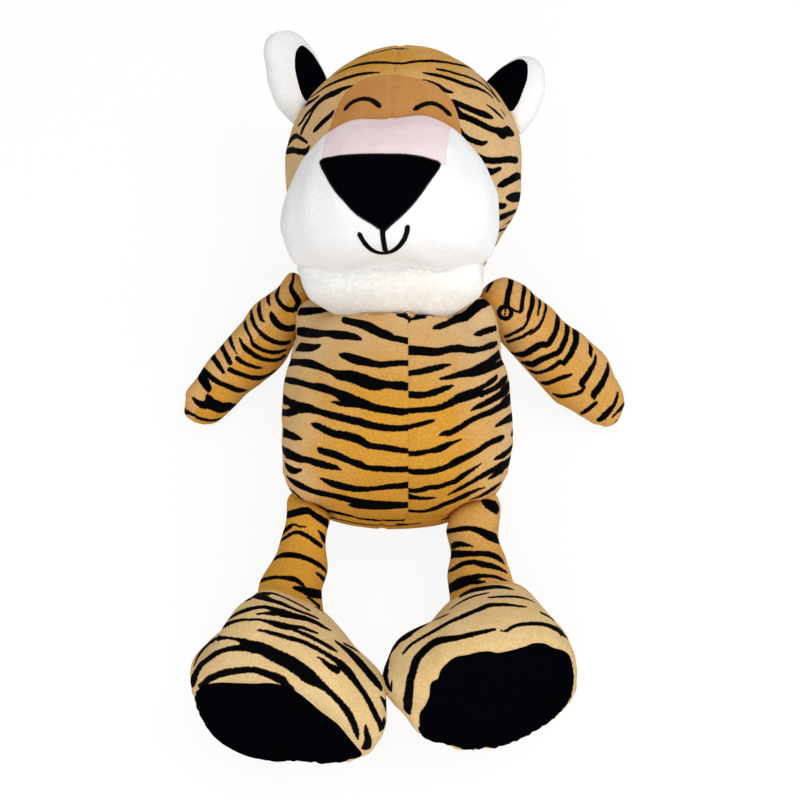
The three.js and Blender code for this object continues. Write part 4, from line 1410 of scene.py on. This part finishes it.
         (413.6, 61.7, 1.8), (423.6, 61, 2.1), (433.6, 61, 2.3), (445, 62.1, 2), (456.4, 64.3, 2),
         (466.4, 66.4, 2), (473.6, 70, 1.7), (480.7, 76.4, 1.4), (487.9, 85, 1.5),
         (493.6, 92.9, 1.5), (499.3, 101.4, 1.3)],
        [(301, 104, 1.5), (310.7, 97.4, 1.4), (317.9, 92.1, 1.6), (325, 87.1, 2),
         (335, 82.1, 2.3), (346.4, 77.9, 2.5), (356.4, 75, 2.3), (367.9, 73.1, 1.8),
         (379.3, 72.4, 0.8)],
        [(353.6, 85.7, 1), (343.6, 88.6, 2.5), (335, 92.9, 3.8), (326.4, 96.4, 3.8),
         (317.9, 102.9, 3.7), (312.1, 108.6, 2.7), (306.4, 114.3, 2.5), (302.1, 121.4, 2.2),
         (298.6, 125, 1.5)],
        [(316, 107, 1.8), (312.1, 112.1, 1.8), (307.9, 120, 2.3), (303.6, 127.1, 2.5),
         (301.4, 132.9, 2)],
        [(296.5, 115.7, 1.5), (299.3, 110, 2.6), (303.6, 105.7, 3), (312.1, 101, 2.4),
         (318, 96.5, 1.8)],
        [(333.6, 110.7, 1), (330, 115.7, 2.5), (323.6, 121.4, 2.7), (316.4, 128.6, 2.7),
         (313.6, 131.4, 1.2)],
        [(285.5, 151, 2.5), (287.5, 145, 3.5), (291, 139.5, 3.5), (296, 136, 2.5), (302, 139, 2),
         (307, 142.5, 1.5)],
        [(286, 151.5, 2.5), (292, 150, 3), (299, 151.5, 3.2), (305.5, 151.5, 3), (309, 147, 1.5)],
        [(284, 180, 2), (285.5, 186, 2.5)],
        [(423.6, 72.9, 1), (432.1, 74.3, 2), (442.1, 76.4, 2.2), (453.6, 80, 2.3),
         (465, 84.3, 2.5), (475, 87.1, 2.3), (485, 91.4, 1.8), (492.1, 97.1, 1.5)],
        [(437.9, 69.3, 1.8), (446.4, 70.7, 2), (456.4, 73.6, 2), (466.4, 76.4, 1.9),
         (475, 80, 1.8), (483.6, 85, 1.7), (492.1, 92.9, 1.4), (497.9, 100, 1)],
        [(423.6, 79.7, 0.8), (432.1, 82.1, 1.2), (439.3, 85.7, 1.7), (445.7, 90.7, 2.3),
         (452.1, 92.1, 1.2)],
        [(452, 100.5, 1.5), (457.2, 103.3, 2.8), (465, 106.7, 3), (472.8, 110, 3.1),
         (479.4, 112.8, 3.3), (486.1, 115, 3.3), (491.7, 117.2, 1.8)],
        [(453, 103, 2), (456, 108.8, 3), (459.4, 114.4, 4), (466.1, 117.2, 3.3),
         (473.9, 120.5, 3.3), (481.7, 124.4, 3.2), (489.4, 128.3, 3), (496.1, 130.5, 3),
         (501.7, 133.3, 5.3), (508.3, 131.1, 5), (513, 133, 2.5)],
        [(487.2, 105, 1), (491.7, 108.3, 1.5), (497.2, 112.8, 1.8), (502.8, 118.3, 1.2)],
        [(501.7, 110, 0.9), (505, 115.5, 0.9)],
        [(461.1, 129.4, 1.3), (462.2, 133.3, 2.3), (467.2, 137.8, 2.8), (473.9, 141.1, 2.8),
         (481.7, 143.3, 2.8), (486.7, 141.7, 1.5)],
        [(477, 154, 1), (482.8, 158.9, 3.3), (490.5, 160.5, 3.5), (499.4, 160.5, 3.3),
         (507.2, 159.4, 3.5), (516.1, 160, 3.4), (518, 160, 2)],
        [(484, 167, 0.8), (489.4, 171.7, 3.5), (493.9, 171.1, 3.2), (499.4, 168.9, 2),
         (501.1, 167.8, 0.8)],
        [(498.3, 185.5, 1.8), (502.8, 183.9, 3.2), (509.4, 180.5, 3.2), (516.1, 176.7, 3.3),
         (520.5, 176.2, 3.2)],
        [(506.7, 197.2, 2), (510.5, 197.4, 4), (517.2, 197, 4), (521, 196.7, 3.5)],
        [(496, 206.1, 3.2), (502.8, 206.1, 3.2), (505.9, 205.5, 1.5)],
        [(499, 218.2, 2.8), (507.2, 215, 2.8), (513.9, 212.2, 3), (517, 210.5, 2.2)],
        [(506.1, 223.9, 1), (510.5, 221.1, 2.2), (513, 219.4, 1.4)],
        [(499, 231, 2), (506.1, 228.3, 1.3), (509, 225.4, 0.9)],
    ],
}


# how stripes are laid, carried on out of view and made up: lengths in millimetres
laying = {"thinnest": 0.7, "around": 14}
carrying = {"from": 1.1, "facing": 0.42, "length": (22, 48), "apart": 4}
making = {"length": (16, 52), "lean": 0.25, "apart": 0.72, "fewest": 4}


def project(tree, line, spread):
    # lays a picked stripe on a form: a row of (place, half width in metres)
    laid = []
    for i, (px, py, half) in enumerate(line):
        before, after = line[max(i - 1, 0)], line[min(i + 1, len(line) - 1)]
        along = Vector((after[0] - before[0], after[1] - before[1])).normalized()
        hit = tree.ray_cast(eye, towards(px, py))[0]
        if hit is None:
            continue
        spans = []
        for way in (half, -half):
            beside = tree.ray_cast(eye, towards(px - way * along.y, py + way * along.x))[0]
            if beside is not None and (beside - hit).length < 8 * half * mm:
                spans.append((beside - hit).length)
        width = sum(spans) / len(spans) if spans else half * 0.8 * mm
        laid.append((hit, max(laying["thinnest"] * mm, min(width, half * spread * mm))))
    return laid


def walk(tree, place, heading, length, step=5 * mm):  # follows a surface, turning with it
    path = []
    for _ in range(int(length / step)):
        place, normal, _, _ = tree.find_nearest(place + heading * step)
        heading = (heading - normal * heading.dot(normal)).normalized()
        path.append(place.copy())
    return path


def seen(place):
    hit = wholeTree.ray_cast(eye, (place - eye).normalized())
    return hit[0] is not None and (hit[0] - place).length < 9 * mm


def carriedOn(tree, laid, others):
    # a stripe that leaves the view goes on round the form, and tapers
    crowd = np.array([place for line in others for place, _ in line])
    for turned in (False, True):
        ends = laid[::-1] if turned else laid
        last, half = ends[-1]
        normal = tree.find_nearest(last)[1]
        facing = normal.dot((eye - last).normalized())
        if len(ends) > 1 and half > carrying["from"] * mm and facing < carrying["facing"]:
            heading = (last - ends[-2][0]).normalized()
            path = walk(tree, last, heading, dice.uniform(*carrying["length"]) * mm)
            shown = [i for i, place in enumerate(path) if seen(place)]
            path = path[:shown[0]] if shown else path
            gaps = [nearTo(crowd, place) for place in path]
            close = [i for i, gap in enumerate(gaps) if gap < half + carrying["apart"] * mm]
            path = path[:close[0]] if close else path
            for i, place in enumerate(path):
                left = 1 - (i + 1) / (len(path) + 0.5)
                ends = ends + [(place, half * left**0.5)]
        laid = ends[::-1] if turned else ends
    return laid


def nearTo(crowd, place):
    return np.min(np.linalg.norm(crowd - np.array(place), axis=1))


def filledIn(form, laid, around, gap=12.5, tries=900, widths=(2.2, 4.2)):
    # stripes for the parts that the photograph doesn't show, kept clear of those it does
    tree, mesh = trees[form], forms[form].data
    made = []
    taken = [np.array(place) for line in laid for place, _ in line] or [np.array((9.0, 9.0, 9.0))]
    for _ in range(tries):
        start = mesh.vertices[dice.randrange(len(mesh.vertices))].co.copy()
        crowd = np.array(taken)
        if nearTo(crowd, start) < gap * mm or seen(start):
            continue
        normal = tree.find_nearest(start)[1]
        line = [start]
        most = dice.uniform(*making["length"]) * mm
        lean = dice.uniform(-making["lean"], making["lean"])
        for way in (1, -1):
            ring = around(start, normal)
            heading = (ring * way + ring.cross(normal) * lean).normalized()
            for place in walk(tree, start, heading, most, 4 * mm):
                if nearTo(crowd, place) < gap * making["apart"] * mm or seen(place):
                    break
                line = line + [place] if way > 0 else [place] + line
        if len(line) < making["fewest"]:
            continue
        half = dice.uniform(*widths) * mm
        reach = len(line) - 1
        shares = [min(1, 0.35 + min(i, reach - i) * 0.3) for i in range(len(line))]
        made.append([(place, half * share) for place, share in zip(line, shares)])
        taken += [np.array(place) for place in line]
    return made


def nearestStripe(places, laid, far=20 * mm):
    # how far each place is from the nearest stripe's edge, in millimetres
    field = np.full(len(places), far)
    for line in laid:
        low = np.min([place for place, _ in line], axis=0) - laying["around"] * mm
        high = np.max([place for place, _ in line], axis=0) + laying["around"] * mm
        near = np.nonzero(np.all((places > low) & (places < high), axis=1))[0]
        if not len(near):
            continue
        points = places[near]
        best = field[near]
        steps = zip(line, line[1:]) if len(line) > 1 else [(line[0], line[0])]
        for (a, ra), (b, rb) in steps:
            a, b = np.array(a), np.array(b)
            span = b - a
            t = np.clip(((points - a) @ span) / max(span @ span, 1e-12), 0, 1)
            away = np.linalg.norm(points - a - t[:, None] * span, axis=1) - (ra + t * (rb - ra))
            best = np.minimum(best, away)
        field[near] = best
    return field / mm


def stripeField(piece, laid):  # the cloth is made finer along the edges of its stripes
    outer = outerCount[piece.name]
    for reach in (3.4, 1.7):
        field = nearestStripe(placesOf(piece.data), laid)
        build = bmesh.new()
        build.from_mesh(piece.data)
        outside = build.verts.layers.int.get("outside")
        if outside is None:
            outside = build.verts.layers.int.new("outside")
            for v in build.verts:
                v[outside] = int(v.index < outer)
        close = np.abs(field) < reach
        fine = {v for v in build.verts if close[v.index] and v[outside]}
        edges = [e for e in build.edges if e.verts[0] in fine and e.verts[1] in fine]
        bmesh.ops.subdivide_edges(build, edges=edges, cuts=1, use_grid_fill=True)
        build.to_mesh(piece.data)
        build.free()
    for polygon in piece.data.polygons:
        polygon.use_smooth = True
    layer = piece.data.attributes.new("stripe", "FLOAT", "POINT")
    layer.data.foreach_set("value", nearestStripe(placesOf(piece.data), laid).astype(np.float32))


def ringsAbout(axis):  # rings about an axis
    return lambda place, normal: Vector(axis).cross(normal).normalized()


laidOn = {}
formOf = {
    "torso_front_right": "torso",
    "torso_front_left": "torso",
    "head": "skull",
    "right_foot_upper": "right_foot",
    "left_foot_upper": "left_foot",
}
widest = {"foot": 2.1, "else": 1.1}  # how much a stripe may widen where the cloth turns away
for name, lines in stripes.items():
    tree = trees[formOf.get(name, name)]
    smooth = [rounded(line, steps=3, closed=False) for line in lines]
    laid = [project(tree, line, widest["foot" if "foot" in name else "else"]) for line in smooth]
    laid = [line for line in laid if line]
    laidOn[name] = []
    for i, line in enumerate(laid):
        laidOn[name].append(carriedOn(tree, line, laidOn[name] + laid[i + 1:]))
torsoLaid = laidOn["torso_front_right"] + laidOn["torso_front_left"]
torsoMore = filledIn("torso", torsoLaid, ringsAbout((0, 1, 0)), tries=1600)
headMore = filledIn("skull", laidOn["head"], ringsAbout((0, 1, 0)), tries=1600)
limbMore = {
    "arm": {"gap": 10.5, "tries": 500, "widths": (1.8, 3.2)},
    "leg": {"gap": 12, "tries": 400, "widths": (2, 3.4)},
    "foot": {"gap": 14, "tries": 900, "widths": (1.6, 3.6)},
}
for side in ("left", "right"):
    for limb, look in limbMore.items():
        form = side + "_" + limb
        name = form + "_upper" if limb == "foot" else form
        body = form if limb == "arm" else side + "_foot"
        axis = turn[body] @ Vector((0, 1, 0))
        laidOn[name] += filledIn(form, laidOn[name], ringsAbout(axis), **look)
stripeField(pieces["torso_front_right"], laidOn["torso_front_right"] + torsoMore)
stripeField(pieces["torso_front_left"], laidOn["torso_front_left"] + torsoMore)
stripeField(pieces["torso_back_right"], torsoLaid + torsoMore)
stripeField(pieces["torso_back_left"], torsoLaid + torsoMore)
stripeField(pieces["head_left"], laidOn["head"] + headMore)
stripeField(pieces["head_right"], laidOn["head"] + headMore)
for side in ("left", "right"):
    for half in ("_upper", "_lower"):
        stripeField(pieces[side + "_arm" + half], laidOn[side + "_arm"])
    stripeField(pieces[side + "_leg"], laidOn[side + "_leg"])
    stripeField(pieces[side + "_foot_upper"], laidOn[side + "_foot_upper"])
print("stripes are laid")


# materials
def node(tree, kind, settings=None, **inputs):
    made = tree.nodes.new("ShaderNode" + kind)
    for key, value in (settings or {}).items():
        setattr(made, key, value)
    for key, value in inputs.items():
        numbered = key[0] == "i" and key[1:].isdigit()
        target = made.inputs[int(key[1:]) if numbered else key.replace("_", " ")]
        if isinstance(value, bpy.types.NodeSocket):
            tree.links.new(value, target)
        else:
            target.default_value = value
    return made


def pileGroup():  # short pile: tufts and clumps, and soft patches of light and dark
    group = bpy.data.node_groups.new("pile", "ShaderNodeTree")
    for name, default in (("Tuft", 700.0), ("Patch", 26.0)):
        socket = group.interface.new_socket(name, in_out="INPUT", socket_type="NodeSocketFloat")
        socket.default_value = default
    for name in ("Height", "Shade", "Drift", "Ragged"):
        group.interface.new_socket(name, in_out="OUTPUT", socket_type="NodeSocketFloat")
    begin, end = group.nodes.new("NodeGroupInput"), group.nodes.new("NodeGroupOutput")
    place = node(group, "TexCoord").outputs["Object"]
    scales = {"tuft": begin.outputs["Tuft"], "patch": begin.outputs["Patch"]}
    tuft = node(group, "TexNoise", Vector=place, Scale=scales["tuft"], Detail=3.0, Roughness=0.65)
    clump = node(group, "TexNoise", Vector=place, Scale=210.0, Detail=2.0, Roughness=0.6)
    patch = node(group, "TexNoise", Vector=place, Scale=scales["patch"], Detail=3.0, Roughness=0.55)
    ragged = node(group, "TexNoise", Vector=place, Scale=520.0, Detail=2.0, Roughness=0.7)
    both = {"i0": clump.outputs[0], "i1": 0.8, "i2": tuft.outputs[0]}
    height = node(group, "Math", {"operation": "MULTIPLY_ADD"}, **both)
    spread = {"From_Min": 0.3, "From_Max": 0.7, "To_Min": 0.0, "To_Max": 1.0}
    shade = node(group, "MapRange", Value=tuft.outputs[0], **spread)
    drift = node(group, "MapRange", Value=patch.outputs[0], **spread)
    wire(group, [
        (height.outputs[0], end.inputs["Height"]),
        (shade.outputs[0], end.inputs["Shade"]),
        (drift.outputs[0], end.inputs["Drift"]),
        (ragged.outputs[0], end.inputs["Ragged"]),
    ])
    return group


pile = pileGroup()


clothLook = {
    "stripe": None,
    "tone": None,
    "sheen": 0.25,
    "rough": 0.9,
    "grain": 0.5,
    "tuft": 700.0,
    "depth": 0.5,
    "gloss": 0.03,
}


def plush(name, light, deep, **own):
    look = {**clothLook, **own}
    material = bpy.data.materials.new(name)
    material.use_nodes = True
    tree = material.node_tree
    shader = tree.nodes["Principled BSDF"]
    shader.inputs["Roughness"].default_value = look["rough"]
    shader.inputs["Sheen Weight"].default_value = look["sheen"]
    shader.inputs["Sheen Roughness"].default_value = 0.6
    shader.inputs["Specular IOR Level"].default_value = look["gloss"]
    fur = tree.nodes.new("ShaderNodeGroup")
    fur.node_tree = pile
    fur.inputs["Tuft"].default_value = look["tuft"]
    mixBy = fur.outputs["Drift"]
    if look["tone"]:
        attribute = node(tree, "Attribute", {"attribute_name": look["tone"]})
        shares = {"i0": fur.outputs["Drift"], "i1": 0.34, "i2": attribute.outputs["Fac"]}
        clamped = {"operation": "MULTIPLY_ADD", "use_clamp": True}
        mixBy = node(tree, "Math", clamped, **shares).outputs[0]
    base = node(tree, "Mix", {"data_type": "RGBA"}, i0=mixBy)
    base.inputs[6].default_value = light
    base.inputs[7].default_value = deep
    ends = {"To_Min": 1 - 0.32 * look["grain"], "To_Max": 1 + 0.12 * look["grain"]}
    dark = node(tree, "MapRange", Value=fur.outputs["Shade"], From_Min=0.0, From_Max=1.0, **ends)
    shaded = node(tree, "Mix", {"data_type": "RGBA", "blend_type": "MULTIPLY"}, i0=1.0)
    tree.links.new(base.outputs[2], shaded.inputs[6])
    tree.links.new(dark.outputs[0], shaded.inputs[7])
    colour = shaded.outputs[2]
    if look["stripe"]:
        field = node(tree, "Attribute", {"attribute_name": "stripe"})
        spread = {"From_Min": 0.25, "From_Max": 0.75, "To_Min": -0.55, "To_Max": 0.55}
        uneven = node(tree, "MapRange", Value=fur.outputs["Ragged"], **spread)
        reach = {"i0": field.outputs["Fac"], "i1": uneven.outputs[0]}
        edge = node(tree, "Math", {"operation": "ADD"}, **reach)
        spread = {"From_Min": -0.45, "From_Max": 0.45, "To_Min": 1.0, "To_Max": 0.0}
        soft = {"interpolation_type": "SMOOTHSTEP"}
        mask = node(tree, "MapRange", soft, Value=edge.outputs[0], **spread)
        striped = node(tree, "Mix", {"data_type": "RGBA"}, i0=mask.outputs[0])
        tree.links.new(colour, striped.inputs[6])
        striped.inputs[7].default_value = look["stripe"]
        colour = striped.outputs[2]
    fine = {"Strength": look["depth"], "Distance": 0.0009, "Height": fur.outputs["Height"]}
    bump = node(tree, "Bump", **fine)
    wire(tree, [(colour, shader.inputs["Base Color"]), (bump.outputs[0], shader.inputs["Normal"])])
    return material


black = (0.0012, 0.0012, 0.0015, 1)
cloths = {
    "striped_pile": {
        "light": srgb(231, 198, 152),
        "deep": srgb(216, 155, 58),
        "stripe": black,
        "sheen": 0.0,
        "grain": 0.85,
        "tone": "tone",
    },
    "foot_pile": {
        "light": srgb(228, 199, 147),
        "deep": srgb(214, 158, 70),
        "stripe": black,
        "sheen": 0.0,
        "grain": 0.7,
        "tone": "tone",
    },
    "brow_pile": {"light": srgb(209, 152, 90), "deep": srgb(197, 134, 70), "sheen": 0.0},
    "white_plush": {
        "light": srgb(250, 250, 250),
        "deep": srgb(245, 245, 246),
        "sheen": 0.1,
        "grain": 0.14,
        "tuft": 420.0,
    },
    "cream_plush": {
        "light": srgb(252, 251, 248),
        "deep": srgb(247, 246, 240),
        "sheen": 0.1,
        "grain": 0.35,
        "tuft": 300.0,
        "depth": 0.7,
    },
    "pink_plush": {
        "light": srgb(248, 229, 229),
        "deep": srgb(244, 222, 225),
        "sheen": 0.05,
        "grain": 0.2,
    },
    "black_plush": {
        "light": (0.0015, 0.0014, 0.002, 1),
        "deep": (0.0006, 0.0008, 0.006, 1),
        "sheen": 0.0,
        "tone": "tone",
        "gloss": 0.0,
    },
    "fibre_filling": {
        "light": srgb(243, 243, 240),
        "deep": srgb(230, 230, 226),
        "sheen": 0.3,
        "tuft": 180.0,
        "depth": 1.0,
    },
    "black_thread": {
        "light": (0.004, 0.004, 0.004, 1),
        "deep": (0.002, 0.002, 0.002, 1),
        "sheen": 0.0,
        "rough": 0.5,
        "gloss": 0.04,
    },
}
finishes = {name: plush(name, **look) for name, look in cloths.items()}

# where the golden fabric is deeper: low on the belly, at the crown and on the legs
def toneOf(piece, deep):
    places = placesOf(piece.data)
    layer = piece.data.attributes.new("tone", "FLOAT", "POINT")
    layer.data.foreach_set("value", np.clip(deep(places), 0, 1).astype(np.float32))


def torsoTone(p):
    low = ease((0.055 - p[:, 1]) / 0.13)
    middle = 1 - ease((np.abs(p[:, 0] - 0.005) - 0.025) / 0.075)
    return 0.02 + 0.78 * low * (0.2 + 0.8 * middle) + 0.14 * middle


def headTone(p):
    x, y, z = inBody("head", p).T
    return 0.1 + 0.6 * ease((y - 0.02) / 0.08) * (1 - ease((np.abs(x) - 0.03) / 0.06))


def footTone(side):  # the neck of the foot is of the leg's golden fabric
    def tone(p):
        away = np.linalg.norm(inBody(side + "_foot", p), axis=1)
        return 0.85 * (1 - ease((away - 0.042) / 0.003)) - 0.04

    return tone


limbTone = {
    "left_arm": 0.6,
    "right_arm_upper": 0.5,
    "right_arm_lower": 0.8,
    "left_leg": 0.65,
    "right_leg": 0.95,
}
for side in ("left", "right"):
    toneOf(pieces[side + "_foot_upper"], footTone(side))
for name, piece in pieces.items():
    if name.startswith("torso"):
        toneOf(piece, torsoTone)
    elif name in ("head_left", "head_right"):
        toneOf(piece, headTone)
    else:
        for limb, tone in limbTone.items():
            if name.startswith(limb):
                toneOf(piece, lambda p: np.full(len(p), tone))

# what each piece stands for, and the body it goes with
standsFor = {
    "torso_front_left": ("torso_front_left_panel", "torso", "striped_pile"),
    "torso_front_right": ("torso_front_right_panel", "torso", "striped_pile"),
    "torso_back_left": ("torso_back_left_panel", "torso", "striped_pile"),
    "torso_back_right": ("torso_back_right_panel", "torso", "striped_pile"),
    "head_left": ("head_left_panel", "head", "striped_pile"),
    "head_right": ("head_right_panel", "head", "striped_pile"),
    "brow": ("brow_patch", "head", "brow_pile"),
    "muzzle": ("muzzle_cover", "head", "white_plush"),
    "nose_bridge": ("nose_bridge_panel", "head", "pink_plush"),
    "chin": ("chin_panel", "head", "cream_plush"),
    "nose": ("nose", "head", "black_plush"),
    "nose_edge": (None, "head", "black_thread"),
    "left_eye": ("left_eye_embroidery", "head", "black_thread"),
    "right_eye": ("right_eye_embroidery", "head", "black_thread"),
    "mouth": ("mouth_embroidery", "head", "black_thread"),
    "torso_stuffing": ("torso_filling", "torso", "fibre_filling"),
    "head_stuffing": ("head_filling", "head", "fibre_filling"),
}
for side in ("left", "right"):
    standsFor[side + "_ear_lining"] = (side + "_ear_lining", "head", "black_plush")
    standsFor[side + "_ear_back"] = (side + "_ear_back", "head", "white_plush")
    for limb in ("ear", "arm", "leg", "foot"):
        body = "head" if limb == "ear" else side + "_" + limb
        limb = side + "_" + limb
        standsFor[limb + "_stuffing"] = (limb + "_filling", body, "fibre_filling")
    standsFor[side + "_arm_upper"] = (side + "_arm_upper_panel", side + "_arm", "striped_pile")
    standsFor[side + "_arm_lower"] = (side + "_arm_lower_panel", side + "_arm", "striped_pile")
    standsFor[side + "_leg"] = (side + "_leg_cover", side + "_leg", "striped_pile")
    standsFor[side + "_foot_upper"] = (side + "_foot_upper", side + "_foot", "foot_pile")
    standsFor[side + "_foot_sole"] = (side + "_foot_sole", side + "_foot", "black_plush")
for name, (cadNode, body, finish) in standsFor.items():
    piece = pieces[name]
    sheet = finish not in ("black_thread", "fibre_filling")
    piece.name = name + "_cloth" if sheet else name
    piece.data.materials.clear()
    piece.data.materials.append(finishes[finish])
    if cadNode:
        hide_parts(cadNode)
    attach(piece, body)
for form in forms.values():
    mesh = form.data
    bpy.data.objects.remove(form)
    bpy.data.meshes.remove(mesh)
